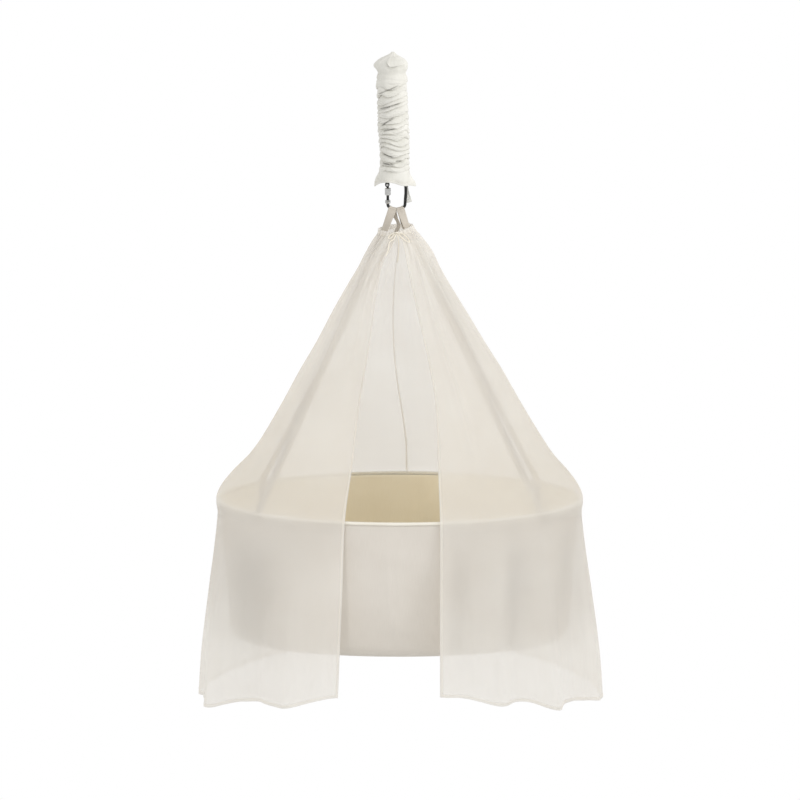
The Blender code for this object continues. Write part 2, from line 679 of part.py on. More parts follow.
def build_canopy(mat):
    step = 0.002
    front, back = [], []
    for z in CANOPY_ROWS:
        out_row, in_row = [], []
        for c in range(CANOPY_COLS + 1):
            u = c / CANOPY_COLS
            point = canopy_point(u, z)
            along = canopy_point(min(1.0, u + step), z) - canopy_point(max(0.0, u - step), z)
            down = canopy_point(u, max(HEM_Z, z - step)) - canopy_point(u, min(CANOPY_ROWS[0], z + step))
            normal = down.cross(along).normalized()
            out_row.append(point + normal * CLOTH_THICK / 2)
            in_row.append(point - normal * CLOTH_THICK / 2)
        front.append(out_row)
        back.append(in_row)
    return sheet("canopy_cloth", front, back, mat)


# Drawstring
def smooth_line(points, count):
    """Evenly read points of a smooth curve through a few places."""
    places = [Vector(p) for p in points]
    places = [2 * places[0] - places[1]] + places + [2 * places[-1] - places[-2]]
    spans = len(places) - 3
    result = []
    for k in range(count):
        s = spans * k / (count - 1)
        i = min(spans - 1, int(s))
        t = s - i
        p0, p1, p2, p3 = places[i:i + 4]
        result.append(0.5 * ((2 * p1) + (p2 - p0) * t + (2 * p0 - 5 * p1 + 4 * p2 - p3) * t ** 2
                             + (3 * p1 - p0 - 3 * p2 + p3) * t ** 3))
    return result


def on_cloth(x, z, lift=0.0):
    """Place on the front of the canopy near the neck, clear of its gathers."""
    a = table_value(CANOPY_SHAPE, z, 1)
    b = table_value(CANOPY_SHAPE, z, 2)
    mid = table_value(CANOPY_SHAPE, z, 3)
    reach = NECK_GATHER_DEPTH + CLOTH_THICK / 2 + CORD_R + GAP + lift
    s = max(-0.95, min(0.95, (x - mid) / (a + reach)))
    return Vector((x, -(b + reach) * math.sqrt(1.0 - s * s), z + neck_lean(x - mid, z)))


def build_drawstring(mat):
    knot = on_cloth(0.0098, -0.4840, KNOT_R - CORD_R)
    verts, faces = [], []
    lat, lon = 6, 12
    for i in range(1, lat):
        p = math.pi * i / lat
        for j in range(lon):
            a = 2 * math.pi * j / lon
            verts.append(knot + Vector((KNOT_R * math.sin(p) * math.cos(a),
                                        0.85 * KNOT_R * math.sin(p) * math.sin(a),
                                        0.9 * KNOT_R * math.cos(p))))
    for k in range(lat - 2):
        faces.extend(ring_faces(k * lon, (k + 1) * lon, lon))
    verts += [knot + Vector((0.0, 0.0, 0.9 * KNOT_R)), knot - Vector((0.0, 0.0, 0.9 * KNOT_R))]
    faces.extend((j, (j + 1) % lon, len(verts) - 2) for j in range(lon))
    faces.extend(((lat - 2) * lon + j, (lat - 2) * lon + (j + 1) % lon, len(verts) - 1) for j in range(lon))
    add_mesh("drawstring_knot", verts, faces, mat)

    left = [knot + Vector((-0.0057, 0.0, 0.0014)), on_cloth(-0.0060, -0.4850, 0.0005),
            on_cloth(-0.0125, -0.4920, 0.0012), on_cloth(-0.0070, -0.4945, 0.0016),
            knot + Vector((-0.0054, 0.0, -0.0026))]
    add_tube("drawstring_loop_left", smooth_line(left, 15), CORD_R, mat)
    right = [knot + Vector((0.0057, 0.0, 0.0014)), on_cloth(0.0260, -0.4850, 0.0005),
             on_cloth(0.0400, -0.4960, 0.0003), on_cloth(0.0440, -0.5040, 0.0003),
             on_cloth(0.0370, -0.5020, 0.0003), on_cloth(0.0260, -0.4945, 0.0005),
             knot + Vector((0.0054, 0.0, -0.0026))]
    add_tube("drawstring_loop_right", smooth_line(right, 21), CORD_R, mat)
    tail = [knot + Vector((-0.0026, -0.0008, -0.0051)), on_cloth(0.0020, -0.4960, 0.0010),
            on_cloth(-0.0090, -0.5040, 0.0004), on_cloth(-0.0120, -0.5200, 0.0004),
            on_cloth(-0.0185, -0.5380, 0.0004)]
    add_tube("drawstring_tail_left", smooth_line(tail, 13), CORD_R, mat)
    tail = [knot + Vector((0.0022, 0.0, -0.0051)), knot + Vector((0.0052, 0.0010, -0.0200)),
            knot + Vector((0.0056, 0.0015, -0.0450)), knot + Vector((0.0025, 0.0010, -0.0780))]
    add_tube("drawstring_tail_right", smooth_line(tail, 17), CORD_R, mat)


def main():
    clear_scene()
    sleeve_cotton = material("sleeve_cotton", (0.78, 0.77, 0.70), 0.9)
    veil = material("cotton_voile", (0.84, 0.82, 0.76), 0.95)
    cradle_cotton = material("cradle_cotton", (0.72, 0.69, 0.62), 0.92)
    tan_lining = material("tan_lining", (0.60, 0.50, 0.34), 0.92)
    webbing = material("webbing", (0.66, 0.64, 0.56), 0.9)
    cord = material("drawstring_cotton", (0.82, 0.80, 0.72), 0.9)
    black_steel = material("black_steel", (0.03, 0.03, 0.03), 0.35, 1.0)
    bright_steel = material("bright_steel", (0.62, 0.62, 0.62), 0.25, 1.0)
    tag_ribbon = material("tag_ribbon", (0.85, 0.86, 0.83), 0.8)
    build_sleeve(sleeve_cotton)
    build_tag(tag_ribbon)
    build_carabiner(black_steel, bright_steel)
    build_straps(webbing)
    build_tabs(webbing)
    build_cradle(cradle_cotton, tan_lining, veil)
    build_canopy(veil)
    build_drawstring(cord)


main()
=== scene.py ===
# %% [markdown]
# # A hanging baby cradle with a sheer crib canopy
# A spring sleeve of ruched cotton hangs from the ceiling. A screw-gate carabiner under it carries
# two lengths of webbing, which carry an oval cloth cradle. A sheer cotton veil is drawn round the
# webbing with a string and falls over the cradle, open in front.
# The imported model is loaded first. It fixes every place and size, in metres, with +Z up.

# %% Load the frame
import math

import bmesh
import bpy
import numpy as np
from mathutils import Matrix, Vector, noise


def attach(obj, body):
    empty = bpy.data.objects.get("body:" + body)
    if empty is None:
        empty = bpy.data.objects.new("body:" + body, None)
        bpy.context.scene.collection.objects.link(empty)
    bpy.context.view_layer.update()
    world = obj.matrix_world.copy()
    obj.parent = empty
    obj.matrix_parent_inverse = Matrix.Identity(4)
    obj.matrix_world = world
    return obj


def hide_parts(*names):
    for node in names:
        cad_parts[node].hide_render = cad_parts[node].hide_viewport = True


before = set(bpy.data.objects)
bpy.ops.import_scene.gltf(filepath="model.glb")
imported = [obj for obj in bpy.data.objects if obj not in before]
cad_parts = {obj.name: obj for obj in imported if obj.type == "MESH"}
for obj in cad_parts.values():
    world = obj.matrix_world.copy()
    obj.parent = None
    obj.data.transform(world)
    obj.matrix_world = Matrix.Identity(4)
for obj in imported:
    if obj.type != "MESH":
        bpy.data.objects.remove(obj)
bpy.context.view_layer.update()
scene = bpy.context.scene
print("nodes in the frame:", len(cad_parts))

# %% [markdown]
# ## Camera
# The picture is taken from far away with a long lens, from a little above, so it is almost flat
# and the ovals of the rim and the hem open only slightly. The Standard view keeps white as white.

# %% Camera
METRES_PER_PIXEL = 0.0027
PICTURE_PIXELS = 800.0
SENSOR_WIDTH = 36.0
CAMERA_DISTANCE = 16.0
CAMERA_TILT = math.radians(12.2)
AIM = Vector((0.0189, 0.0, -0.9493))

camera_data = bpy.data.cameras.new("camera")
camera_data.sensor_width = SENSOR_WIDTH
camera_data.lens = SENSOR_WIDTH * CAMERA_DISTANCE / METRES_PER_PIXEL / PICTURE_PIXELS
camera_data.clip_end = 100.0
camera = bpy.data.objects.new("camera", camera_data)
back = Vector((0.0, -math.cos(CAMERA_TILT), math.sin(CAMERA_TILT)))
camera.location = AIM + CAMERA_DISTANCE * back
camera.rotation_euler = (math.pi / 2 - CAMERA_TILT, 0.0, 0.0)
scene.collection.objects.link(camera)
scene.camera = camera
scene.view_settings.view_transform = "Standard"
print("lens in millimetres:", round(camera_data.lens, 1))

# %% [markdown]
# ## Helpers for materials
# Colours are given as sRGB hex, as a paint program shows them, and turned into the linear values
# that Blender's shaders use. One helper adds a node, sets its values and joins its inputs.

# %% Colour and node helpers
def rgb(text):
    """sRGB hex to a linear colour with alpha."""
    values = [int(text[i:i + 2], 16) / 255 for i in (0, 2, 4)]
    return (*[v / 12.92 if v <= 0.04045 else ((v + 0.055) / 1.055) ** 2.4 for v in values], 1.0)


def add(tree, kind, inputs=None, **settings):
    """Add a node, set its properties, and give each input a value or a link."""
    made = tree.nodes.new(kind)
    for key, value in settings.items():
        setattr(made, key, value)
    for key, value in (inputs or {}).items():
        if isinstance(value, bpy.types.NodeSocket):
            tree.links.new(value, made.inputs[key])
        else:
            made.inputs[key].default_value = value
    return made


def sums(tree, operation, *values):
    """A Math node on two or three values."""
    return add(tree, "ShaderNodeMath", dict(enumerate(values)), operation=operation).outputs[0]


def blend(tree, share, one, other):
    """Two colours mixed: none of the other at 0, all of it at 1."""
    return add(tree, "ShaderNodeMix", {0: share, 6: one, 7: other}, data_type="RGBA").outputs[2]


def marked(tree, name):
    """A value that the mesh carries at each of its points."""
    found = add(tree, "ShaderNodeAttribute", attribute_name=name, attribute_type="GEOMETRY")
    return found.outputs[2]


def new_material(name):
    material = bpy.data.materials.new(name)
    material.use_nodes = True
    material.node_tree.nodes.clear()
    return material, material.node_tree


def finish(tree, shader):
    add(tree, "ShaderNodeOutputMaterial", {"Surface": shader.outputs[0]})


# %% [markdown]
# Woven cloth is threads that pass over and under each other. Two sine waves across the cloth's own
# UV map, which is in metres, give that bump at the real pitch. A slow noise shifts the tone of the
# undyed cotton, and a stretched noise makes the slubs, the thicker stretches of a thread.

# %% Woven cloth
def weave(tree, pitch, twill=0.0):
    """Height of the threads, and the cloth coordinates that it reads."""
    place = add(tree, "ShaderNodeUVMap", uv_map="cloth").outputs[0]
    parts = add(tree, "ShaderNodeSeparateXYZ", {0: place})
    across, down = parts.outputs[0], parts.outputs[1]
    slanted = sums(tree, "MULTIPLY_ADD", down, twill, across)
    warp = sums(tree, "SINE", sums(tree, "MULTIPLY", slanted, math.pi / pitch))
    weft = sums(tree, "SINE", sums(tree, "MULTIPLY", down, math.pi / pitch))
    return sums(tree, "MULTIPLY", warp, weft), place


def tones(tree, place, light, dark, size):
    """Two tones of one cloth, mixed by a slow noise."""
    spots = add(tree, "ShaderNodeTexNoise", {"Vector": place, "Scale": 1.0 / size, "Detail": 3.0})
    thin = add(tree, "ShaderNodeMapping", {"Vector": place, "Scale": (900.0, 30.0, 1.0)})
    slubs = add(tree, "ShaderNodeTexNoise", {
        "Vector": thin.outputs[0], "Scale": 1.0, "Detail": 1.0})
    most = sums(tree, "MULTIPLY", spots.outputs[0], 0.75)
    both = sums(tree, "MULTIPLY_ADD", slubs.outputs[0], 0.25, most)
    ramp = add(tree, "ShaderNodeMapRange", {0: both, 1: 0.35, 2: 0.65})
    return blend(tree, ramp.outputs[0], rgb(dark), rgb(light))


CRUMPLE_SIZE = 0.012


def cloth_material(name, light, dark, pitch, size=0.12, bump=0.4, depth=0.0002, twill=0.0,
                   crumple=0.0, painted_shade=None):
    """The last colour is painted shade for crease and fold bottoms, which the mesh marks with an
    attribute.
    """
    material, tree = new_material(name)
    height, place = weave(tree, pitch, twill)
    if crumple:
        soft = add(tree, "ShaderNodeTexNoise", {
            "Vector": place, "Scale": 1.0 / CRUMPLE_SIZE, "Detail": 4.0})
        height = sums(tree, "MULTIPLY_ADD", soft.outputs[0], crumple, height)
    relief = add(tree, "ShaderNodeBump", {"Strength": bump, "Distance": depth, "Height": height})
    colour = tones(tree, place, light, dark, size)
    # painted shade: the bottoms of creases and folds darken towards that colour as the hollow
    # attribute rises
    if painted_shade:
        colour = blend(tree, marked(tree, "hollow"), colour, rgb(painted_shade))
    shader = add(tree, "ShaderNodeBsdfPrincipled", {
        "Base Color": colour, "Roughness": 0.92,
        "Sheen Weight": 0.15, "Sheen Roughness": 0.5, "Normal": relief.outputs[0]})
    finish(tree, shader)
    return material


# name, light tone, dark tone, pitch of the threads in metres, then any painted shade colour
sleeve_cotton = cloth_material("sleeve_cotton", "E4E2DB", "D8D6CD", 0.0006, size=0.05, crumple=1.5,
                               depth=0.0005, painted_shade="4B463D")
cradle_cotton = cloth_material("cradle_cotton", "D9D3CA", "D0C9BF", 0.0009, size=0.25,
                               painted_shade="8C8375")
tan_lining = cloth_material("tan_lining", "FAF1DA", "F3E8CE", 0.0009, size=0.20)
binding_cotton = cloth_material("binding_cotton", "F1EDE2", "E6E1D4", 0.0006)
webbing_cotton = cloth_material("webbing_cotton", "C9C1B5", "BBB3A6", 0.0016, bump=0.6,
                                depth=0.0005, twill=0.5)
tag_ribbon = cloth_material("tag_ribbon", "F9F8F3", "F2F1EB", 0.0004, size=0.03)
cord_cotton = cloth_material("cord_cotton", "F2ECDF", "E9E2D3", 0.0022, bump=0.5, depth=0.0004,
                             twill=1.2)
thread_cotton = cloth_material("thread_cotton", "EEE8DA", "E2DBCB", 0.0003)
print("cloths:", [m.name for m in bpy.data.materials if "cotton" in m.name])

# %% [markdown]
# The veil is a fine cotton voile. What is behind it shows through the gaps between its threads,
# and each thread scatters light forwards. So it is a mix of a transparent shader, a translucent
# one and a matte one. A hem is three layers of voile: the mesh marks it with the attribute layers,
# and the mix is denser there.

# %% Sheer voile
def voile_material(name, light, dark, pitch, open_share):
    material, tree = new_material(name)
    height, place = weave(tree, pitch)
    colour = tones(tree, place, light, dark, 0.18)
    relief = add(tree, "ShaderNodeBump", {"Strength": 0.25, "Distance": 0.0001, "Height": height})
    matte = add(tree, "ShaderNodeBsdfPrincipled", {
        "Base Color": colour, "Roughness": 0.95, "Sheen Weight": 0.1, "Normal": relief.outputs[0]})
    glow = add(tree, "ShaderNodeBsdfTranslucent", {"Color": colour})
    clear = add(tree, "ShaderNodeBsdfTransparent")
    thread = add(tree, "ShaderNodeMixShader", {0: 0.55, 1: matte.outputs[0], 2: glow.outputs[0]})
    gaps = sums(tree, "MULTIPLY_ADD", height, 0.04, open_share)
    share = sums(tree, "POWER", gaps, marked(tree, "layers"))
    finish(tree, add(tree, "ShaderNodeMixShader", {
        0: share, 1: thread.outputs[0], 2: clear.outputs[0]}))
    return material


veil_voile = voile_material("veil_voile", "FAF8F4", "F6F3EE", 0.0005, 0.40)

# %% [markdown]
# The carabiner is steel. Its bent bar is black: a thin oxide coat with a soft gloss that rubs
# bright in tiny spots. The nut and the nose are bare, finely turned steel.

# %% Steel
def steel_material(name, light, dark, rough, metallic, grain):
    material, tree = new_material(name)
    place = add(tree, "ShaderNodeTexCoord").outputs["Object"]
    stretched = add(tree, "ShaderNodeMapping", {"Vector": place, "Scale": grain}).outputs[0]
    scratches = add(tree, "ShaderNodeTexNoise", {"Vector": stretched, "Scale": 1.0, "Detail": 3.0})
    lines = scratches.outputs[0]
    colour = blend(tree, lines, rgb(dark), rgb(light))
    gloss = add(tree, "ShaderNodeMapRange", {0: lines, 3: rough * 0.8, 4: rough * 1.3}).outputs[0]
    relief = add(tree, "ShaderNodeBump", {"Strength": 0.15, "Distance": 0.0001, "Height": lines})
    shader = add(tree, "ShaderNodeBsdfPrincipled", {
        "Base Color": colour, "Roughness": gloss, "Metallic": metallic,
        "Normal": relief.outputs[0]})
    finish(tree, shader)
    return material


black_steel = steel_material("black_steel", "2A2A28", "171717", 0.32, 0.6, (900.0, 900.0, 900.0))
bright_steel = steel_material("bright_steel", "D2D2D0", "A9A9A8", 0.30, 1.0, (60.0, 60.0, 1500.0))

# %% [markdown]
# ## Floor and lamps
# The room is white all round, and a little softer as a light than it is to look at, so pale cloth
# stands clear of the background. A large lamp on the right gives the cloth one soft side. A narrow
# hard one rakes over the sleeve's creases, and a narrow soft one fills the cradle's front. The
# floor is a pale round patch well below the hem.

# %% Floor and lamps
ROOM_LIGHT = 0.965
FLOOR_LEVEL = -2.76
FLOOR_RADIUS = 2.1


def floor_material():
    material, tree = new_material("floor_paint")
    place = add(tree, "ShaderNodeTexCoord").outputs["Object"]
    tone = add(tree, "ShaderNodeTexNoise", {"Vector": place, "Scale": 0.4}).outputs[0]
    colour = blend(tree, tone, rgb("DEDEDC"), rgb("E4E4E2"))
    finish(tree, add(tree, "ShaderNodeBsdfPrincipled", {"Base Color": colour, "Roughness": 0.9}))
    return material


mesh = bpy.data.meshes.new("floor")
bm = bmesh.new()
bmesh.ops.create_circle(bm, cap_ends=True, segments=96, radius=FLOOR_RADIUS)
bmesh.ops.translate(bm, verts=bm.verts, vec=(0.0, 0.0, FLOOR_LEVEL))
bm.to_mesh(mesh)
bm.free()
mesh.materials.append(floor_material())
floor = bpy.data.objects.new("floor", mesh)
scene.collection.objects.link(floor)


def lamp(name, kind, place, aim, power, **settings):
    data = bpy.data.lights.new(name, kind)
    data.energy = power
    for key, value in settings.items():
        setattr(data, key, value)
    lit = bpy.data.objects.new(name, data)
    lit.location = place
    lit.rotation_euler = (Vector(aim) - Vector(place)).to_track_quat("-Z", "Y").to_euler()
    scene.collection.objects.link(lit)


lamp("key", "AREA", (3.6, -2.4, 0.6), (0.0, 0.0, -1.0), 24, shape="DISK", size=1.6)
lamp("sleeve_lamp", "SPOT", (3.3, -1.7, 1.5), (0.0, 0.0, -0.16), 190,
     spot_size=math.radians(13), spot_blend=0.6, shadow_soft_size=0.08)
lamp("cradle_lamp", "SPOT", (-1.5, -4.5, -0.6), (0.0, 0.0, -1.38), 125,
     spot_size=math.radians(16), spot_blend=1.0, shadow_soft_size=0.45)
world = bpy.data.worlds.new("surround")
world.use_nodes = True
room = world.node_tree.nodes["Background"]
room.inputs[0].default_value = rgb("FFFFFF")
# the surround is paper white to look at, and softer than that as a light
seen = add(world.node_tree, "ShaderNodeLightPath").outputs["Is Camera Ray"]
glow = add(world.node_tree, "ShaderNodeMapRange", {0: seen, 3: ROOM_LIGHT, 4: 1.0})
world.node_tree.links.new(glow.outputs[0], room.inputs[1])
scene.world = world

# %% [markdown]
# ## Helpers for cloth
# Every cloth here is a grid of points. Two grids, a thickness apart, joined along their edges, make
# a thin closed skin. The same helper closes a tube round its columns and shuts the last row of a
# bag. It also lays the UV map in metres, so that the weave has one scale on every piece. Round
# things, such as cords, the rolled binding and turned steel, are rings of points instead.

# %% Skins
def turned_out(name, points, faces, inner_from=None):
    """Mesh with its faces outwards. An inner skin that shares no edge with the outer one, from
    this vertex on, is turned to face the hollow between them."""
    mesh = bpy.data.meshes.new(name)
    mesh.from_pydata(points, [], faces)
    bm = bmesh.new()
    bm.from_mesh(mesh)
    bmesh.ops.recalc_face_normals(bm, faces=bm.faces[:])
    if inner_from is not None:
        bmesh.ops.reverse_faces(bm, faces=[f for f in bm.faces if f.verts[0].index >= inner_from])
    bm.to_mesh(mesh)
    bm.free()
    return mesh


def new_piece(name, mesh, body):
    """Put a smooth mesh into the scene, riding on one of the model's bodies."""
    mesh.shade_smooth()
    piece = bpy.data.objects.new(name, mesh)
    scene.collection.objects.link(piece)
    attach(piece, body)
    return piece


def rings_of(name, points, cols, material, body="hanging_set", looped=False, measure=None):
    """Closed skin of rings of points. The end rings are capped or, if looped, joined.
    measure(column, ring) gives the UV in metres."""
    rings = len(points) // cols
    faces = []
    for i in range(rings if looped else rings - 1):
        j = (i + 1) % rings
        faces += [(i * cols + k, i * cols + (k + 1) % cols, j * cols + (k + 1) % cols, j * cols + k)
                  for k in range(cols)]
    if not looped:
        faces += [tuple(range(cols)), tuple(range((rings - 1) * cols, rings * cols))]
    mesh = turned_out(name, points, faces)
    if measure:
        corners = mesh.uv_layers.new(name="cloth").data
        for face in mesh.polygons:
            places = [divmod(vertex, cols) for vertex in face.vertices]
            tall, wide = (max(side) - min(side) > 1 for side in zip(*places))
            for corner, (ring, column) in zip(face.loop_indices, places):
                column += cols if wide and column == 0 else 0
                ring += rings if tall and ring == 0 else 0
                corners[corner].uv = measure(column, ring)
    mesh.materials.append(material)
    return new_piece(name, mesh, body)


def lengths(points, axis):
    """Distance along the grid from its first row or column, in metres."""
    steps = np.linalg.norm(np.diff(points, axis=axis), axis=2)
    mean = steps.mean(axis=1 - axis)
    return np.concatenate([[0.0], np.cumsum(mean)])


def grid_normals(points, closed):
    """Unit normals of a grid of points."""
    if closed:
        wide = np.concatenate([points[:, -1:], points, points[:, :1]], axis=1)
        across = wide[:, 2:] - wide[:, :-2]
    else:
        across = np.gradient(points, axis=1)
    down = np.gradient(points, axis=0)
    normal = np.cross(down, across)
    return normal / np.maximum(np.linalg.norm(normal, axis=2, keepdims=True), 1e-12)


def skin(name, outer, inner, material, closed=False, caps=(), marks=None):
    """Closed thin mesh between two grids of points. caps names the rows of a closed grid that are
    shut, and marks holds the values that the material reads, one grid for each name."""
    rows, cols = outer.shape[:2]
    points = np.concatenate([outer.reshape(-1, 3), inner.reshape(-1, 3)])
    shift = rows * cols
    index = np.arange(shift).reshape(rows, cols)
    if closed:
        index = np.concatenate([index, index[:, :1]], axis=1)
    a, b, c, d = index[:-1, :-1], index[:-1, 1:], index[1:, 1:], index[1:, :-1]
    quads = np.stack([a, b, c, d], axis=-1).reshape(-1, 4)
    faces = [tuple(q) for q in quads.tolist()]
    faces += [tuple(shift + i for i in reversed(q)) for q in quads.tolist()]
    edges = [index[r] for r in {0, rows - 1} - set(caps)]
    if not closed:
        edges += [index[:, 0], index[:, -1]]
    for line in (edge.tolist() for edge in edges):
        faces += [(p, q, q + shift, p + shift) for p, q in zip(line, line[1:])]
    for r in caps:
        ring = index[r][:-1].tolist()
        faces += [tuple(ring), tuple(shift + i for i in reversed(ring))]
    mesh = turned_out(name, points.tolist(), faces, shift if len(caps) == 2 else None)
    u = lengths(np.concatenate([outer, outer[:, :1]], axis=1) if closed else outer, 1)
    v = lengths(outer, 0)
    place_u = np.tile(u[:cols], rows * 2)
    place_v = np.tile(np.repeat(v, cols), 2)
    corner = np.empty(len(mesh.loops), dtype=np.int32)
    mesh.loops.foreach_get("vertex_index", corner)
    uv = np.stack([place_u[corner], place_v[corner]], axis=1)
    if closed:
        for face in mesh.polygons:
            part = uv[face.loop_start:face.loop_start + 4, 0]
            if face.loop_total == 4 and part.max() - part.min() > u[-1] / 2:
                part[part < u[-1] / 2] += u[-1]
    mesh.uv_layers.new(name="cloth").data.foreach_set("uv", uv.ravel())
    for key, values in (marks or {}).items():
        field = mesh.attributes.new(key, "FLOAT", "POINT")
        field.data.foreach_set("value", np.tile(values.ravel(), 2))
    mesh.materials.append(material)
    return new_piece(name, mesh, "hanging_set")


def cloth(name, middle, thickness, material, closed=False, **settings):
    """Skin with half its thickness on either side of one grid of points."""
    half = grid_normals(middle, closed) * thickness / 2
    return skin(name, middle + half, middle - half, material, closed, **settings)


def ease(low, high, x):
    t = np.clip((np.asarray(x, dtype=float) - low) / (high - low), 0.0, 1.0)
    return t * t * (3 - 2 * t)


def wrapped(a, centre):
    """Angle from a centre, between -pi and pi."""
    return (a - centre + math.pi) % (2 * math.pi) - math.pi


def ridge(a, centre, width):
    """1 at an angle, and softly down to 0 on both sides of it."""
    return np.exp(-(wrapped(a, centre) / width) ** 2)


def oval(centre_x, half_width, half_depth, angle, z):
    """Row of points round an oval, from its right-hand end."""
    across, away = half_width * np.cos(angle), half_depth * np.sin(angle)
    return np.stack([centre_x + across, away, z + 0 * angle], axis=1)


def read(table, z, column):
    """Smooth reading of a column of a table whose first column falls with z."""
    heights = [row[0] for row in table]
    values = [row[column] for row in table]
    i = 0
    while i < len(table) - 2 and z < heights[i + 1]:
        i += 1
    span = heights[i] - heights[i + 1]
    t = min(1.0, max(0.0, (heights[i] - z) / span))

    def slope(k):
        if k in (0, len(table) - 1):
            return (values[i + 1] - values[i]) / span
        return (values[k + 1] - values[k - 1]) / (heights[k - 1] - heights[k + 1])

    return ((2 * t ** 3 - 3 * t ** 2 + 1) * values[i] + (t ** 3 - 2 * t ** 2 + t) * span * slope(i)
            + (3 * t ** 2 - 2 * t ** 3) * values[i + 1] + (t ** 3 - t ** 2) * span * slope(i + 1))


def ripple(x, y, z, seed):
    """Gentle noise between about -1 and 1 for arrays of places."""
    flat = zip(np.ravel(x), np.ravel(y), np.ravel(z))
    values = [noise.noise((a + seed * 7.3, b, c)) for a, b, c in flat]
    return np.array(values).reshape(np.shape(x)) * 1.6


# %% [markdown]
# ## The veil
# The veil is one wide piece of voile. At the neck it is drawn tight, which throws it into fine
# gathers. From there it runs straight to the cradle's rim, bends over it and hangs to the hem in
# soft folds. Short tables give the oval at each height and the places of the folds.

# %% Veil shape
RIM_Z = -1.221
SKIRT_Z = -1.224
HEM_Z = -1.72
VEIL_THICK = 0.0005
HEM_THICK = 0.0015
NECK_LEAN = 0.125
NECK_GATHER = 0.0022

# z, half width, half depth, centre x
VEIL_SHAPE = (
    (-0.474, 0.0445, 0.0445, 0.007), (-0.485, 0.048, 0.048, 0.009), (-0.5, 0.06, 0.059, 0.0135),
    (-0.537, 0.085, 0.083, 0.0165), (-0.586, 0.109, 0.105, 0.0155), (-0.63, 0.1345, 0.126, 0.0152),
    (-0.696, 0.174, 0.1565, 0.0165), (-0.792, 0.2277, 0.19, 0.018), (-0.864, 0.2717, 0.215, 0.019),
    (-0.96, 0.3247, 0.244, 0.02), (-1.057, 0.3817, 0.271, 0.021), (-1.107, 0.4165, 0.285, 0.021),
    (-1.15, 0.456, 0.3, 0.02), (-1.185, 0.483, 0.309, 0.0185), (-1.212, 0.4955, 0.315, 0.018),
    (-1.23, 0.4965, 0.3155, 0.018), (-1.255, 0.493, 0.3145, 0.018), (-1.338, 0.501, 0.316, 0.018),
    (-1.45, 0.514, 0.318, 0.018), (-1.6, 0.529, 0.32, 0.018), (-1.72, 0.537, 0.322, 0.018))

# z, left edge x, right edge x of the open front
FRONT_OPENING = (
    (-0.474, 0.0078, 0.0098), (-0.486, 0.007, 0.0125), (-0.5, 0.005, 0.0245),
    (-0.569, -0.0292, 0.0403), (-0.757, -0.0611, 0.0829), (-0.905, -0.0875, 0.1112),
    (-1.066, -0.1074, 0.1191), (-1.214, -0.1274, 0.1253), (-1.43, -0.1358, 0.1256),
    (-1.72, -0.1471, 0.126))

# angle from the front (degrees), half width (degrees), depth (metres)
SKIRT_FOLDS = (
    (28.5, 6.0, 0.026), (48.0, 6.0, 0.036), (82.0, 10.0, 0.018), (112.0, 9.0, 0.026),
    (138.0, 8.0, 0.022), (163.0, 9.0, 0.02), (188.0, 8.0, 0.022), (212.0, 9.0, 0.018),
    (238.0, 9.0, 0.026), (264.0, 9.0, 0.014), (294.0, 8.0, 0.032), (327.0, 8.0, 0.032))

# deep folds that run down from the string: angle, half width (radians), depth, height where it ends
NECK_FOLDS = (
    (0.545, 0.04, 0.008, -1.1), (0.3, 0.06, -0.0035, -0.8), (0.86, 0.1, 0.004, -0.9),
    (-0.84, 0.075, 0.005, -0.95), (-0.56, 0.06, -0.004, -0.78), (-0.38, 0.05, 0.0035, -0.78),
    (-1.3, 0.08, 0.004, -0.88), (1.25, 0.09, -0.004, -0.84))


def veil_grid(u, heights, outward=0.0):
    """Points of the veil's middle for columns u (0 to 1) and rows at the given heights."""
    rows = []
    for z in heights:
        a, b, mid = (read(VEIL_SHAPE, z, k) for k in (1, 2, 3))
        start = math.asin((read(FRONT_OPENING, z, 2) - mid) / a)
        stop = 2 * math.pi + math.asin((read(FRONT_OPENING, z, 1) - mid) / a)
        angle = start + (stop - start) * u
        neck = 1.0 - ease(-0.5, -0.66, z)
        gather = NECK_GATHER * neck * np.cos(2 * math.pi * 26 * u)
        gather = gather + 0.0008 * neck * np.sin(2 * math.pi * 61 * u + 1.0)
        # long soft pleats that run down from the gathers
        pleat = 0.6 * np.sin(2 * math.pi * 19 * u + 0.5) + 0.4 * np.sin(2 * math.pi * 33 * u + 2.0)
        pleat = 0.003 * pleat * ease(-0.5, -0.6, z) * (1.0 - ease(-0.7, -1.02, z))
        fold = np.zeros_like(u)
        for centre, width, depth in SKIRT_FOLDS:
            off = (np.degrees(angle) - centre + 180.0) % 360.0 - 180.0
            fold = fold + depth * np.exp(-(off / width) ** 2)
        fold = fold * ease(-1.22, -1.7, z)
        small = 0.0035 * np.sin(2 * math.pi * 37 * u + 1.3 * np.sin(2 * math.pi * 3 * u))
        small = small * ease(-1.26, -1.72, z)
        deep = 0.0 * u
        for centre, width, depth, end in NECK_FOLDS:
            share = float(ease(-0.495, -0.56, z) * (1.0 - ease(end + 0.14, end, z)))
            deep = deep + depth * share * ridge(angle, centre, width)
        sweep = 0.004 * np.sin(5 * angle + 0.7) * ease(-0.6, -0.85, z)
        sweep = sweep * (1.0 - ease(-1.05, -1.16, z))
        reach = gather + pleat + fold + small + deep + sweep + outward
        height = np.full_like(u, z)
        if z < SKIRT_Z:
            hem = -1.705 - 0.072 * np.sin(angle) ** 2 + 0.013 * (1.0 - fold / 0.024)
            height = SKIRT_Z + (z - SKIRT_Z) * (hem - SKIRT_Z) / (HEM_Z - SKIRT_Z)
        x = mid + (a + reach) * np.sin(angle)
        y = -(b + reach) * np.cos(angle)
        height = height + NECK_LEAN * (x - mid) * (1.0 - ease(-0.478, -0.505, z))
        # the string pulls the front edge down to its bow
        height = height - 0.0055 * ridge(angle, 0.0, 0.6) * (1.0 - ease(-0.474, -0.492, z))
        rows.append(np.stack([x, y, height], axis=1))
    return np.array(rows)


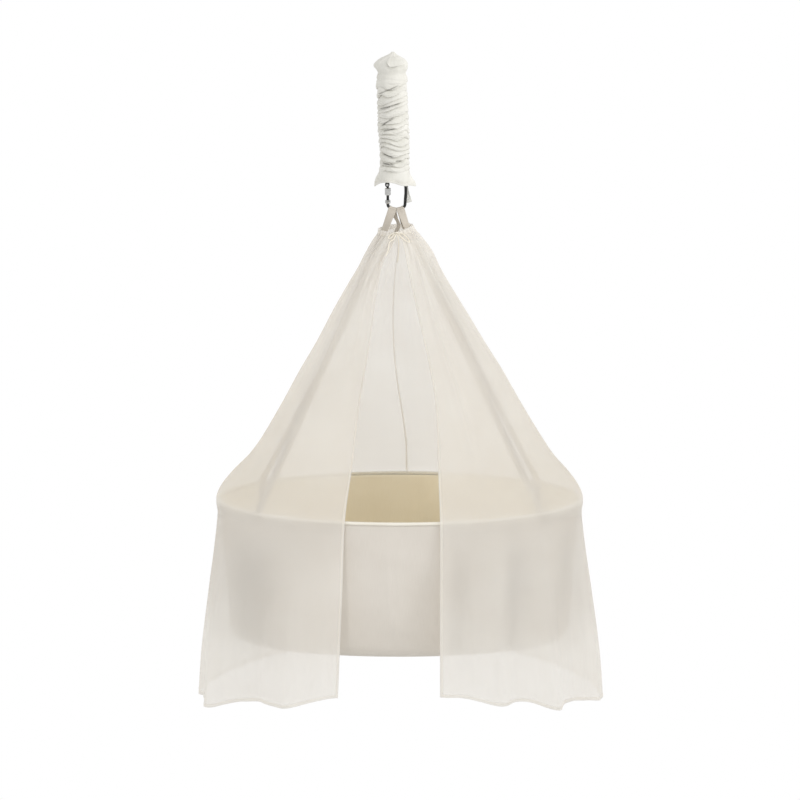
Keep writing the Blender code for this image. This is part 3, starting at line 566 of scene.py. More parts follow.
# %% [markdown]
# ## The drawstring
# A soft cotton cord runs through the veil's casing and is tied in a bow in front. Its two free
# ends run from the knot over the gathers and down. A tube is drawn along each route, and the
# material gives it the cord's twist.

# %% Tubes along a route
def smooth_line(points, count):
    """Evenly read points of a smooth curve through a few places."""
    places = [Vector(p) for p in points]
    places = [2 * places[0] - places[1]] + places + [2 * places[-1] - places[-2]]
    spans = len(places) - 3
    result = []
    for k in range(count):
        s = spans * k / (count - 1)
        i = min(spans - 1, int(s))
        t = s - i
        p0, p1, p2, p3 = places[i:i + 4]
        result.append(0.5 * (2 * p1 + (p2 - p0) * t + (2 * p0 - 5 * p1 + 4 * p2 - p3) * t ** 2
                             + (3 * p1 - p0 - 3 * p2 + p3) * t ** 3))
    return result


def tube(name, path, radius, material, sides=14):
    """Closed round tube along a path, with softly rounded ends."""
    line = [Vector(p) for p in path]
    tangents = [(two - one).normalized()
                for one, two in zip(line[:1] + line[:-1], line[1:] + line[-1:])]
    side = tangents[0].orthogonal().normalized()
    rings = []
    for place, tangent in zip(line, tangents):
        side = (side - tangent * side.dot(tangent)).normalized()
        rings.append((place, side.copy(), tangent.cross(side), radius))
    first, last = rings[0], rings[-1]
    rings.insert(0, (first[0] - tangents[0] * radius * 0.3, first[1], first[2], radius * 0.6))
    rings.append((last[0] + tangents[-1] * radius * 0.3, last[1], last[2], radius * 0.6))
    angles = [2 * math.pi * k / sides for k in range(sides)]
    points = [centre + (across * math.cos(t) + up * math.sin(t)) * r
              for centre, across, up, r in rings for t in angles]
    travelled = [0.0]
    for one, two in zip(rings, rings[1:]):
        travelled.append(travelled[-1] + (two[0] - one[0]).length)
    girth = 2 * math.pi * radius
    return rings_of(name, points, sides, material,
                    measure=lambda column, ring: (column / sides * girth, travelled[ring]))


# %% [markdown]
# The knot sits just in front of the gathers. One free end runs out to the left over the veil, and
# the other hangs straight down. Each is a tube along its own route, whose length is printed.

# %% The knot and the two free ends
CORD_R = 0.0015
KNOT_R = 0.0052


def on_veil(x, z, lift=0.0):
    """Place on the front of the veil near the neck, clear of its gathers and half a hem."""
    a, b, mid = (read(VEIL_SHAPE, z, k) for k in (1, 2, 3))
    reach = NECK_GATHER + HEM_THICK / 2 + CORD_R + 0.0003 + lift
    s = max(-0.95, min(0.95, (x - mid) / (a + reach)))
    lean = NECK_LEAN * (x - mid) * (1.0 - float(ease(-0.478, -0.505, z)))
    return Vector((x, -(b + reach) * math.sqrt(1.0 - s * s), z + lean))


def route_length(path):
    return sum((b - a).length for a, b in zip(path, path[1:]))


def by_knot(x, y, z):
    """Place beside the middle of the knot."""
    return knot_place + Vector((x, y, z))


knot_place = on_veil(0.0098, -0.4818, KNOT_R - CORD_R)
left_route = smooth_line([
    by_knot(-0.0026, -0.0008, -0.0051), on_veil(0.002, -0.496, 0.001),
    on_veil(-0.009, -0.504, 0.0004), on_veil(-0.012, -0.52, 0.0004),
    on_veil(-0.0185, -0.538, 0.0004)], 37)
right_route = smooth_line([
    by_knot(0.0022, 0.0, -0.0051), by_knot(0.0052, 0.001, -0.02),
    by_knot(0.0056, 0.0015, -0.045), by_knot(0.0025, 0.001, -0.078)], 37)
for side_name, route in (("left", left_route), ("right", right_route)):
    end = tube(f"cord_end_{side_name}", route, CORD_R, cord_cotton)
    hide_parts(f"drawstring_tail_{side_name}")
    print(end.name, "length in millimetres:", round(1000 * route_length(route)))

# %% [markdown]
# A bow's loops leave the knot and come back into it. They are limp, so they lie on the gathers
# instead of standing up. The knot itself is one short tube that crosses over itself twice.

# %% The bow
left_bow = smooth_line([
    by_knot(-0.0057, 0.0, 0.0014), on_veil(-0.006, -0.485, 0.0005),
    on_veil(-0.0125, -0.492, 0.0012), on_veil(-0.007, -0.4945, 0.0016),
    by_knot(-0.0054, 0.0, -0.0026)], 45)
right_bow = smooth_line([
    by_knot(0.0057, 0.0, 0.0014), on_veil(0.026, -0.485, 0.0005),
    on_veil(0.04, -0.496, 0.0003), on_veil(0.044, -0.504, 0.0003),
    on_veil(0.037, -0.502, 0.0003), on_veil(0.026, -0.4945, 0.0005),
    by_knot(0.0054, 0.0, -0.0026)], 61)
for side_name, route in (("left", left_bow), ("right", right_bow)):
    bow = tube(f"cord_bow_{side_name}", route, CORD_R, cord_cotton)
    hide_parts(f"drawstring_loop_{side_name}")
turns = []
for k in range(73):
    t = 2 * math.pi * k / 72
    turns.append(by_knot(0.0024 * math.sin(t) + 0.0013 * math.sin(2 * t),
                         -0.0023 * math.cos(2 * t) * 0.9, 0.0026 * math.cos(t)))
knot = tube("cord_knot", turns[:-1], CORD_R * 1.15, cord_cotton)
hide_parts("drawstring_knot")

# %% [markdown]
# ## Stitches
# Sewing is one short thread after another along a line, so Geometry Nodes make it: a line becomes
# a curve, and a small bead of thread is laid along it at every stitch. The result is a plain mesh.

# %% Stitch tree
def stitch_tree():
    tree = bpy.data.node_groups.new("stitch_row", "GeometryNodeTree")
    face = tree.interface
    face.new_socket(name="Geometry", in_out="INPUT", socket_type="NodeSocketGeometry")
    for name, value in (("Spacing", 0.0035), ("Stitch length", 0.0027), ("Thread radius", 0.00035)):
        socket = face.new_socket(name=name, in_out="INPUT", socket_type="NodeSocketFloat")
        socket.default_value = value
    face.new_socket(name="Thread", in_out="INPUT", socket_type="NodeSocketMaterial")
    face.new_socket(name="Geometry", in_out="OUTPUT", socket_type="NodeSocketGeometry")
    start = add(tree, "NodeGroupInput")
    line = add(tree, "GeometryNodeMeshToCurve", {0: start.outputs[0]})
    spaced = add(tree, "GeometryNodeResampleCurve", {
        "Curve": line.outputs[0], "Length": start.outputs[1]}, mode="LENGTH")
    bead = add(tree, "GeometryNodeMeshUVSphere", {"Segments": 6, "Rings": 4, "Radius": 1.0})
    size = add(tree, "ShaderNodeCombineXYZ", {
        0: start.outputs[3], 1: start.outputs[3],
        2: sums(tree, "MULTIPLY", start.outputs[2], 0.5)})
    thread = add(tree, "GeometryNodeTransform", {
        "Geometry": bead.outputs[0], "Scale": size.outputs[0]})
    along = add(tree, "GeometryNodeInputTangent")
    turn = add(tree, "FunctionNodeAlignRotationToVector", {"Vector": along.outputs[0]}, axis="Z")
    laid = add(tree, "GeometryNodeInstanceOnPoints", {
        "Points": spaced.outputs[0], "Instance": thread.outputs[0], "Rotation": turn.outputs[0]})
    real = add(tree, "GeometryNodeRealizeInstances", {0: laid.outputs[0]})
    painted = add(tree, "GeometryNodeSetMaterial", {
        "Geometry": real.outputs[0], "Material": start.outputs[4]})
    add(tree, "NodeGroupOutput", {0: painted.outputs[0]})
    return tree


stitches_tree = stitch_tree()


def stitches(name, lines, spacing=0.0035, length=0.0027, radius=0.00035):
    """Sew along lines of points and keep the result as one plain mesh."""
    points, edges = [], []
    for line in lines:
        first = len(points)
        points.extend(tuple(map(float, p)) for p in line)
        edges.extend((first + i, first + i + 1) for i in range(len(line) - 1))
    mesh = bpy.data.meshes.new(name + "_line")
    mesh.from_pydata(points, edges, [])
    guide = bpy.data.objects.new(name + "_line", mesh)
    scene.collection.objects.link(guide)
    sewn = guide.modifiers.new("stitches", "NODES")
    sewn.node_group = stitches_tree
    values = {"Spacing": spacing, "Stitch length": length, "Thread radius": radius,
              "Thread": thread_cotton}
    for item in stitches_tree.interface.items_tree:
        if item.in_out == "INPUT" and item.name in values:
            sewn[item.identifier] = values[item.name]
    ready = guide.evaluated_get(bpy.context.evaluated_depsgraph_get())
    result = bpy.data.meshes.new_from_object(ready)
    result.name = name
    bpy.data.objects.remove(guide)
    new_piece(name, result, "hanging_set")
    print(name, "faces:", len(result.polygons))


# %% [markdown]
# The grid is fine where the cloth is busy: at the neck, at the rim and at the hem. The voile is
# turned over twice at its hems, so it is thicker and denser there. Two gores meet at the back in a
# felled seam, a narrow strip of folded layers that reads as a thin dark line against the light.

# %% Make the veil
heights = np.concatenate([
    np.linspace(-0.474, -0.486, 9), np.linspace(-0.4885, -0.6, 30),
    np.linspace(-0.612, -1.1, 40), np.linspace(-1.108, -1.26, 28),
    np.linspace(-1.272, -1.704, 36), np.linspace(-1.711, HEM_Z, 7)])
edge = np.array([0.0, 0.0006, 0.0012, 0.0018, 0.0026])
half = np.concatenate([edge, np.linspace(0.0065, 0.498, 138), [0.499, 0.49925]])
columns = np.concatenate([half, [0.5], 1.0 - half[::-1]])


def slanted(u, z):
    """The gores are cut wider on one side, so the seam wanders to the left on its way up."""
    return u + 0.0275 * (1.0 - float(ease(-0.55, -1.22, z))) * np.exp(-((u - 0.5) / 0.16) ** 2)


middle = np.concatenate([veil_grid(slanted(columns, z), [z]) for z in heights])
back_seam = np.abs(columns - 0.5)[None, :] < 0.0009
side_hem = np.minimum(columns, 1.0 - columns)[None, :] < 0.002
low_hem = heights[:, None] < -1.712
casing = heights[:, None] > -0.4865
hemmed = side_hem | low_hem | casing | back_seam
thickness = np.where(hemmed, HEM_THICK, VEIL_THICK)[..., None]
layers = np.where(back_seam, 3.0, np.where(hemmed, 2.2, 1.0))
veil = cloth("veil_cloth", middle, thickness, veil_voile, marks={"layers": layers})
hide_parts("canopy_cloth")

# %% [markdown]
# The hems are sewn with small straight stitches, a few millimetres long: one row along the bottom,
# one down each front edge, and one under the casing at the neck.

# %% Sew the veil's hems
HEM_STITCH_LIFT = 0.0009
low_line = veil_grid(np.linspace(0.002, 0.998, 1400), [-1.7132], HEM_STITCH_LIFT)[0]
sides = [veil_grid(np.array([u]), np.linspace(-0.5, -1.713, 500), HEM_STITCH_LIFT)[:, 0]
         for u in (0.0017, 0.9983)]
neck_line = veil_grid(np.linspace(0.004, 0.996, 260), [-0.4866], HEM_STITCH_LIFT)[0]
stitches("veil_hem_stitches", [low_line])
stitches("veil_edge_stitches", sides)
stitches("veil_neck_stitches", [neck_line])
seam_line = [veil_grid(slanted(np.array([0.5]), z), [z], -0.001)[0, 0]
             for z in np.linspace(-0.5, -1.7, 500)]
stitches("veil_seam_stitches", [seam_line])

# %% [markdown]
# ## The spring sleeve
# A spring hides in this cotton tube, which is far longer than the spring, so it is pushed together
# into ruches: soft puffs with tight creases between them. The top is drawn shut, and the hem
# stands out as a small frill. One closed grid makes the outside, turns in at the hem and comes up
# again to the throat, which closes over the carabiner's upper bow.

# %% Sleeve shape
# height, radius
SLEEVE_PROFILE = (
    (0.0, 0.0034), (-0.004, 0.0072), (-0.009, 0.014), (-0.014, 0.0235), (-0.019, 0.032),
    (-0.024, 0.0385), (-0.032, 0.0425), (-0.041, 0.043), (-0.049, 0.04), (-0.056, 0.0372),
    (-0.066, 0.04), (-0.078, 0.0415), (-0.1, 0.0385), (-0.16, 0.0392), (-0.24, 0.039),
    (-0.3, 0.0372), (-0.322, 0.0405), (-0.34, 0.0465), (-0.3545, 0.0478))
RUCHE_STEP = 0.234 / 31  # 31 ruches
RUCHE_START = 0.088
SLEEVE_HEM_Z = -0.3545
SLEEVE_THICK = 0.0008


def sleeve_centre(z):
    """The sleeve leans a little to the right on its way down."""
    return (-0.003 * ease(0.0, -0.02, z) + 0.0085 * ease(-0.05, -0.3, z)
            - 0.0035 * ease(-0.31, -0.35, z))


def hem_arch(a):
    """The hem's front edge is lifted, left of the middle, so that the carabiner's hinge shows."""
    return 0.0115 * ridge(a, -1.98, 0.62)


# long creases of the front, each from one angle and height to another, and how dark the painted
# shade at its bottom is
DEEP_CREASES = (
    (-2.54, -0.1093, -1.19, -0.0853, 0.62), (-2.57, -0.15, -0.99, -0.1318, 0.7),
    (-2.47, -0.1945, -1.57, -0.1728, 0.78), (-2.3, -0.2084, -1.51, -0.2007, 0.72),
    (-2.57, -0.272, -1.71, -0.2775, 1.0), (-2.54, -0.297, -1.65, -0.2988, 0.92),
    (-1.52, -0.2895, -1.08, -0.2877, 0.7))


def deep_creases(a, height):
    """How deep each place lies in one of those creases, from 0 to 1, which also sets its painted
    shade.
    """
    turn = wrapped(a, 0.0)
    depth = 0.0 * a
    for start, start_z, end, end_z, dark in DEEP_CREASES:
        t = (turn - start) / (end - start)
        along = ease(-0.15, 0.1, t) * (1.0 - ease(0.75, 1.15, t))
        line = start_z + (end_z - start_z) * np.clip(t, 0.0, 1.0)
        depth = np.maximum(depth, dark * along * np.exp(-((height - line) / 0.0018) ** 2))
    return depth


def sleeve_rows(a, heights):
    """Points of the sleeve, and how much painted shade darkens each of them, from 0 to 1."""
    east, north = np.cos(a), np.sin(a)
    rows, painted_crease_shades = [], []
    for z in heights:
        level = np.full_like(a, z)
        body = ease(-0.075, -0.095, z) * (1.0 - ease(-0.312, -0.326, z))
        rise = (0.0125 - 0.0155 * ease(-0.1, -0.28, z)) * np.cos(a - 0.2) * body
        # creases wander and die out, because the cloth is pushed together by hand
        wander = ripple(east, north, level * 30.0, 1)
        phase = math.pi * (z + RUCHE_START) / RUCHE_STEP + 2.9 * wander
        puff = 2.0 * np.abs(np.cos(phase / 2)) ** 0.42 - 1.45
        # deep on the left and in front, where the cloth is slack, and shallow on the right
        side = 0.95 + 0.5 * np.cos(a + 2.4)
        strength = side * (0.75 + 0.55 * ripple(1.3 * east, 1.3 * north, level * 34.0, 2))
        fine_phase = math.pi * (z + RUCHE_START) / (0.41 * RUCHE_STEP)
        fine_wander = 3.4 * ripple(1.7 * east, 1.7 * north, level * 44.0, 3)
        fine = np.abs(np.cos(fine_phase / 2 + fine_wander)) ** 0.6 - 0.65
        crease = 0.0054 * strength * puff * body + 0.0012 * side * fine * body
        # painted shade in the bottom of each crease, darkest where the ruches are deep
        painted_crease_shade = np.clip(1.5 * strength - 0.6, 0.0, 0.95)
        painted_crease_shade = np.exp(-((puff + 1.45) / 0.45) ** 2) * painted_crease_shade * body
        # each puff sags over the crease below it, so light doesn't reach in
        sag = (0.0046 * strength * (puff - 0.2) + 0.001 * side * fine) * body
        # gathers run down from the tuft, sharp at the top and gone below the shoulder
        gather = 0.6 - np.abs(np.sin(5.5 * a + 0.9 + 0.5 * np.sin(2 * a)))
        pleat = gather * (0.001 + 0.0022 * ease(-0.004, -0.018, z))
        pleat = pleat * (1.0 - ease(-0.026, -0.05, z))
        # slanted creases under the smooth top, and soft dents in it
        slant = (z + 0.078 - 0.01 * np.cos(a + 2.0)) / 0.0035
        slanted = -0.0022 * np.exp(-slant ** 2) * ease(-0.055, -0.075, z)
        dent = 0.0016 * ripple(1.2 * east, 1.2 * north, level * 14.0, 4) * ease(-0.02, -0.04, z)
        shoulder = 0.0055 * ridge(a, math.pi, 0.5) * math.exp(-((z + 0.035) / 0.0085) ** 2)
        frill = 0.003 * np.sin(6 * a + 1.0) * ease(-0.325, -0.35, z)
        low = ease(-0.335, SLEEVE_HEM_Z, z)
        tail_right, tail_left = ridge(a, -0.12, 0.22), ridge(a, math.pi + 0.1, 0.26)
        r = read(SLEEVE_PROFILE, z, 1) + crease + pleat + slanted + dent * (1.0 - body)
        r = r + shoulder + frill
        r = r + low * (0.011 * tail_right + 0.0015 * tail_left)
        drop = low * (0.006 * tail_right + 0.0085 * tail_left)
        lift = 0.0012 * np.sin(4 * a + 1) * ease(-0.33, -0.354, z) + low * hem_arch(a)
        height = level + rise + lift - drop - sag
        deep = deep_creases(a, height)
        r = r - 0.0035 * deep
        # the long creases get painted shade at their bottoms as well
        painted_crease_shades.append(np.maximum(painted_crease_shade, deep))
        rows.append(oval(sleeve_centre(z), r, r, a, height))
    return np.array(rows), np.array(painted_crease_shades)


# %% [markdown]
# The rows lie close together where the ruches are, because a crease is only a few millimetres high.
# The top row is the drawn-in tuft. The last rows are the part that is turned in at the hem: they
# follow the hem's own shape first and then rise to the gathered throat.

# %% Make the sleeve
CLIP_X, CLIP_HALF_WIDTH, BAR_R = 0.0093, 0.0231, 0.004
THROAT_R = 0.0314

around = np.linspace(0, 2 * math.pi, 156, endpoint=False)
outside, painted_crease_shades = sleeve_rows(around, np.concatenate([
    np.linspace(0.0, -0.026, 20), np.linspace(-0.028, -0.08, 30),
    np.linspace(-0.0812, -0.326, 206), np.linspace(-0.3285, SLEEVE_HEM_Z, 13)]))
turned_in = []
hem_row = outside[-1]
# the throat's right side reaches just past the carabiner's bar
throat_x = CLIP_X - THROAT_R + CLIP_HALF_WIDTH + BAR_R + 0.0003
# share of the hem's width and drop below it, or else height, radius and share of the hem's arch
for share, drop, z, radius, arch in (
        (0.995, 0.0014, None, 0, 0), (0.975, 0.0012, None, 0, 0), (0.955, 0.0, None, 0, 0),
        (0, 0, -0.35, 0.0405, 1.0), (0, 0, -0.346, 0.0356, 0.9), (0, 0, -0.342, 0.0328, 0.75),
        (0, 0, -0.337, 0.0322, 0.45), (0, 0, -0.33, 0.032, 0.15), (0, 0, -0.322, 0.0318, 0),
        (0, 0, -0.315, 0.0305, 0), (0, 0, -0.3118, 0.026, 0), (0, 0, -0.3114, 0.012, 0),
        (0, 0, -0.3114, 0.002, 0)):
    if z is None:
        centre = np.array([float(sleeve_centre(SLEEVE_HEM_Z)), 0.0, 0.0])
        row = (hem_row - centre) * np.array([share, share, 1.0]) + centre
        row = row - np.array([0.0, 0.0, drop])
    else:
        pleats = radius + 0.0006 * np.sin(22 * around) * min(1.0, radius / 0.02)
        row = oval(throat_x, pleats, pleats, around, z + arch * hem_arch(around))
    turned_in.append(row)
sleeve_middle = np.concatenate([outside, np.array(turned_in)])
# painted shade in the outside's creases; the turned-in part has none
sleeve_painted_shade = np.concatenate([painted_crease_shades, np.zeros((len(turned_in), len(around)))])
sleeve = cloth("sleeve_cotton_tube", sleeve_middle, SLEEVE_THICK, sleeve_cotton, closed=True,
               caps=(0, len(sleeve_middle) - 1), marks={"hollow": sleeve_painted_shade})
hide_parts("spring_sleeve")

# %% [markdown]
# The cloth at the top is folded over in front into a flap with a blunt point. It is a piece of its
# own, curved like the sleeve under it, and its raised edge throws a thin shadow. One row of
# stitches holds the sleeve's hem.

# %% The folded flap and its stitches
flap_u = np.linspace(0, 1, 72)
# its lower edge falls steeply to the point, a fifth of the way along, and rises gently after it
flap_point = np.where(flap_u < 0.2, 0.25 + 0.75 * flap_u / 0.2,
                      1.0 - (flap_u - 0.2) / 0.8 * 0.45)
flap_rows = []
for t in np.linspace(0, 1, 24):
    a = -math.pi / 2 + (-0.34 + 1.24 * flap_u)
    z = -0.011 - t * (0.006 + 0.016 * flap_point)
    base = np.array([read(SLEEVE_PROFILE, float(v), 1) for v in z])
    lift = 0.0026 + 0.007 * t ** 2 * (1.0 - np.abs(2.0 * flap_u - 1.0) ** 6)
    lift = lift + 0.0007 * np.sin(9 * flap_u + 2.0)
    flap_rows.append(oval(sleeve_centre(z), base + lift, base + lift, a, z))
flap_middle = np.array(flap_rows)
flap = cloth("sleeve_flap", flap_middle, SLEEVE_THICK, sleeve_cotton)
turn = np.linspace(0, 2 * math.pi, 500)
hem_seam = sleeve_rows(turn, [-0.347])[0][0]
hem_seam = hem_seam + oval(0.0, SLEEVE_THICK, SLEEVE_THICK, turn, 0.0)
stitches("sleeve_hem_stitches", [hem_seam], spacing=0.003, length=0.0022)

# %% [markdown]
# ## The blank tag
# A pale ribbon is caught in the sleeve's hem behind the carabiner. It hangs with a slight twist.

# %% Tag
TAG_THICK = 0.0006
# left and right edge at four heights
TAG_CORNERS = (((0.0305, 0.0175, -0.3445), (0.0372, 0.007, -0.3445)),
               ((0.03, 0.0165, -0.36), (0.0395, 0.008, -0.36)),
               ((0.0305, 0.0155, -0.374), (0.0415, 0.0085, -0.374)),
               ((0.0375, 0.0125, -0.4117), (0.0515, 0.0085, -0.406)))
left_edge, right_edge = (smooth_line([row[side] for row in TAG_CORNERS], 40) for side in (0, 1))
tag_middle = np.array([[list(one.lerp(other, s)) for s in np.linspace(0, 1, 12)]
                       for one, other in zip(left_edge, right_edge)])
# the corners are on the front of the model's ribbon, whose middle lies half a millimetre behind
tag_middle = tag_middle + np.array([0.6, 0.8, 0.0]) * 0.0005
tag = cloth("blank_ribbon", tag_middle, TAG_THICK, tag_ribbon)
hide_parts("blank_tag")

# %% [markdown]
# ## The webbing
# Two lengths of cotton webbing hang over the carabiner's lower bow. Each has a leg to the front
# and one to the back, and each leg ends inside the cradle, where it is sewn down. A centre line
# and a width direction at each place give a ribbon that lies flat on the bow, twists at the neck
# and meets the rim square.

# %% The bow and the rim
CLIP_LOW_Z, CLIP_LOW_DEPTH = -0.4125, 0.0145
CRADLE_X, RIM_A, RIM_B = 0.018, 0.4865, 0.307
FLOOR_Z, FLOOR_A, FLOOR_B, FLOOR_ROUND = -1.614, 0.458, 0.236, 0.046
CANVAS_THICK, LINING_THICK, BINDING_HEIGHT = 0.002, 0.0015, 0.0085
WEB_WIDTH, WEB_THICK = 0.022, 0.0016
WEB_HALF_TURN = math.radians(29.2)
WEB_RIM_X, WEB_RIM_Y = 0.785, 0.62
STRAP_INSET = CANVAS_THICK + LINING_THICK + 0.0038
WEB_RIM_REACH = 0.388
THREAD_LIFT = 0.0001


def wall_axes(z):
    """Half width and half depth of the cradle's outside at a height."""
    t = min(1.0, max(0.0, (RIM_Z - z) / (RIM_Z - FLOOR_Z)))
    return RIM_A + (FLOOR_A - RIM_A) * t, RIM_B + (FLOOR_B - RIM_B) * t


def bar_point(angle, round_bar, lift):
    """Point beside the lower bow: angle along the bow, then round the bar, lifted off it."""
    centre = Vector((CLIP_X + CLIP_HALF_WIDTH * math.cos(angle), 0.0,
                     CLIP_LOW_Z + CLIP_LOW_DEPTH * math.sin(angle)))
    inward = Vector((math.cos(angle) / CLIP_HALF_WIDTH, 0.0, math.sin(angle) / CLIP_LOW_DEPTH))
    inward, back = -inward.normalized(), Vector((0.0, 1.0, 0.0))
    reach = BAR_R + lift
    return centre + inward * reach * math.cos(round_bar) + back * reach * math.sin(round_bar)


def wall_point(sx, sy, z):
    """Place inside the wall where a strap meets it, and the direction along the rim."""
    a, b = (axis - STRAP_INSET for axis in wall_axes(z))
    normal = Vector((sx * WEB_RIM_X / a, sy * WEB_RIM_Y / b, 0.0)).normalized()
    place = Vector((CRADLE_X + sx * a * WEB_RIM_X, sy * b * WEB_RIM_Y, z))
    return place, Vector((-normal.y, normal.x, 0.0))


# %% [markdown]
# A strap is a list of rows: a centre, a width direction, and how far the strap's middle sags. On
# the bow the webbing is bent across its width too, since it lies in a curve, and it bunches there
# to less than its full width. Smooth curves through the rows make the ribbon.

# %% Strap routes
def leg_route(start, neck, neck_across, sx, sy):
    """Places and width directions from the bow to the end inside the cradle."""
    top, along = wall_point(sx, sy, RIM_Z + BINDING_HEIGHT * 0.8)
    neck, neck_across = Vector(neck), Vector(neck_across).normalized()
    if start[1].dot(neck_across) < 0.0:
        neck_across = -neck_across
    if neck_across.dot(along) < 0.0:
        along = -along
    start_place, start_width, start_sag = start
    flat = Vector((0.0, 0.0, 0.0))
    width = start_width.lerp(neck_across * WEB_WIDTH, 0.55)
    rows = [(start_place.lerp(neck, 0.45), width, start_sag * 0.35),
            (neck, neck_across * WEB_WIDTH, flat)]
    for t in (0.06, 0.15, 0.3, 0.5, 0.7, 0.88, 1.0):
        turned = neck_across.lerp(along, float(ease(0.0, 0.7, t))).normalized()
        rows.append((neck.lerp(top, t), turned * WEB_WIDTH, flat))
    for drop in (0.01, 0.04):
        rows.append((wall_point(sx, sy, RIM_Z - drop)[0], along * WEB_WIDTH, flat))
    return rows


def strap(name, node, middle_deg, legs):
    """Ribbon with a leg on either side of a place on the bow: its grid of points and normals."""
    middle = math.radians(middle_deg)
    loop = []
    for degrees in (-112, -80, -48, -16, 16, 48, 80, 112):
        one, mid, two = (bar_point(middle + s * WEB_HALF_TURN, math.radians(degrees), 0.0013)
                         for s in (-1, 0, 1))
        loop.append(((one + two) / 2, two - one, mid - (one + two) / 2))
    front = leg_route(loop[0], *legs[0])
    back = leg_route(loop[-1], *legs[1])
    rows = front[::-1] + loop + back
    across = []
    for place, wide, sag in rows:
        across.append(-wide if across and wide.dot(across[-1]) < 0.0 else wide)
    count = 6 * (len(rows) - 1) + 1
    lines, sides, sags = (smooth_line(part, count) for part in (
        [row[0] for row in rows], across, [row[2] for row in rows]))
    grid = np.array([[list(p + w * s + q * (1.0 - 4.0 * s * s)) for s in np.linspace(-0.5, 0.5, 13)]
                     for p, w, q in zip(lines, sides, sags)])
    piece = cloth(name, grid, WEB_THICK, webbing_cotton)
    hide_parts(node)
    return grid, grid_normals(grid, closed=False)


# for each leg: where it is at the neck, its width direction there, and its side and end of the rim
left_strap = strap("webbing_left", "strap_left", 239.8, (
    ((-0.0212, -0.015, -0.477), (0.85, -0.52, 0.1), -1, -1),
    ((0.0145, 0.024, -0.477), (-0.35, 0.94, 0.0), -1, 1)))
right_strap = strap("webbing_right", "strap_right", 300.2, (
    ((0.0392, -0.014, -0.477), (0.66, 0.75, 0.1), 1, -1),
    ((0.031, 0.0245, -0.477), (0.6, -0.8, 0.1), 1, 1)))

# %% [markdown]
# Each strap is sewn to the cradle with a box of stitches, seen from both sides of the webbing. The
# boxes follow the strap's own grid, so they stay on its skin.

# %% Sew the straps
end_boxes = []
for grid, normals in (left_strap, right_strap):
    last = len(grid) - 1
    for top, low in ((1, 9), (last - 9, last - 1)):
        for side in (-1, 1):
            shell = grid + normals * (WEB_THICK / 2 + THREAD_LIFT) * side
            box = [(top, 1), (top, 11), (low, 11), (low, 1), (top, 1)]
            for (r0, c0), (r1, c1) in zip(box, box[1:]):
                steps = max(abs(r1 - r0), abs(c1 - c0)) + 1
                along, across = (np.linspace(*ends, steps).round().astype(int)
                                 for ends in ((r0, r1), (c0, c1)))
                end_boxes.append([shell[r, c] for r, c in zip(along, across)])
stitches("strap_end_stitches", end_boxes, spacing=0.003, length=0.0023)

# %% [markdown]
# ## The cradle
# The bed is a tub of plain cotton canvas with a tan lining and a rolled binding round its rim. Both
# layers are lofted from the same ovals, an oval for each height, so they keep their distance. The
# canvas hangs under its own weight: it is shaped by a few long vertical folds, which show through
# the veil as soft bands, and by a crease in front. Painted shade darkens the canvas where the folds
# turn away under the veil.

# %% Cradle shape
# angle from the right-hand end (radians), half width (radians), how far it stands out (metres)
WALL_FOLDS = (
    (-2.42, 0.085, 0.015), (-2.86, 0.1, 0.01), (-1.27, 0.06, 0.0085), (-0.98, 0.075, 0.015),
    (-0.52, 0.09, 0.011), (0.7, 0.1, 0.01), (1.45, 0.09, 0.01), (2.3, 0.11, 0.011))

# where a fold's flank turns into the narrow space under the veil, painted shade: angle, half width,
# how dark
WALL_SHADE_BANDS = (
    (-2.53, 0.24, 0.62), (-1.24, 0.055, 0.5), (-0.885, 0.07, 0.72), (-0.4, 0.14, 0.45),
    (0.62, 0.08, 0.35), (1.36, 0.07, 0.35), (2.2, 0.09, 0.35))


def tub_sway(angle, z):
    """How far both layers bulge inwards or outwards, at an angle from the right-hand end."""
    free = float(ease(RIM_Z - 0.01, RIM_Z - 0.1, z) * (1.0 - ease(-1.5, -1.58, z)))
    ripples = 0.001 * np.sin(9 * angle + 0.4) + 0.0008 * np.sin(17 * angle + 2.0 + 3.0 * z)
    lean = -math.pi / 2 - 0.048 + 0.03 * (RIM_Z - z) / (RIM_Z - FLOOR_Z)
    crease = -0.0034 * ridge(angle, lean, 0.02) * ease(-1.54, -1.44, z)
    crease = crease + 0.015 * np.exp(-np.abs(wrapped(angle, lean)) / 0.15)
    folds = sum(depth * ridge(angle, centre, width) for centre, width, depth in WALL_FOLDS)
    hung = float(ease(RIM_Z - 0.01, RIM_Z - 0.12, z) * (1.0 - ease(-1.57, -1.61, z)))
    return free * (ripples + crease) + folds * hung


def tub_rows(angle, heights, inset):
    rows = []
    for z in heights:
        a, b = (axis - inset for axis in wall_axes(z))
        depth = FLOOR_ROUND - (z - FLOOR_Z)
        cut = FLOOR_ROUND - math.sqrt(max(0.0, FLOOR_ROUND ** 2 - max(0.0, depth) ** 2))
        sway = tub_sway(angle, z)
        level = z + inset * (1.0 if depth > 0 else 0.0)
        rows.append(oval(CRADLE_X, a - cut + sway, b - cut + sway, angle, level))
    return rows


def tub_layer(angle, inset, top):
    """Rows from the rim down the wall, round the corner and in over the floor."""
    bend = [FLOOR_Z + FLOOR_ROUND * (1.0 - math.sin(0.5 * math.pi * k))
            for k in np.linspace(0.0, 1.0, 10)]
    rows = tub_rows(angle, list(np.linspace(top, -1.56, 44)) + bend, inset)
    floor_row = rows[-1]
    centre = np.array([CRADLE_X, 0.0, 0.0])
    for share in (0.9, 0.75, 0.6, 0.45, 0.3, 0.15, 0.04):
        rows.append((floor_row - centre) * np.array([share, share, 1.0]) + centre)
    return np.array(rows)


# %% [markdown]
# The wall runs down, turns in over a rounded corner and closes under the bed as the floor. The
# canvas is the outer layer and the lining the inner one, each a closed skin of its own thickness.

# %% Canvas and lining
even = np.linspace(0, 2 * math.pi, 300, endpoint=False)
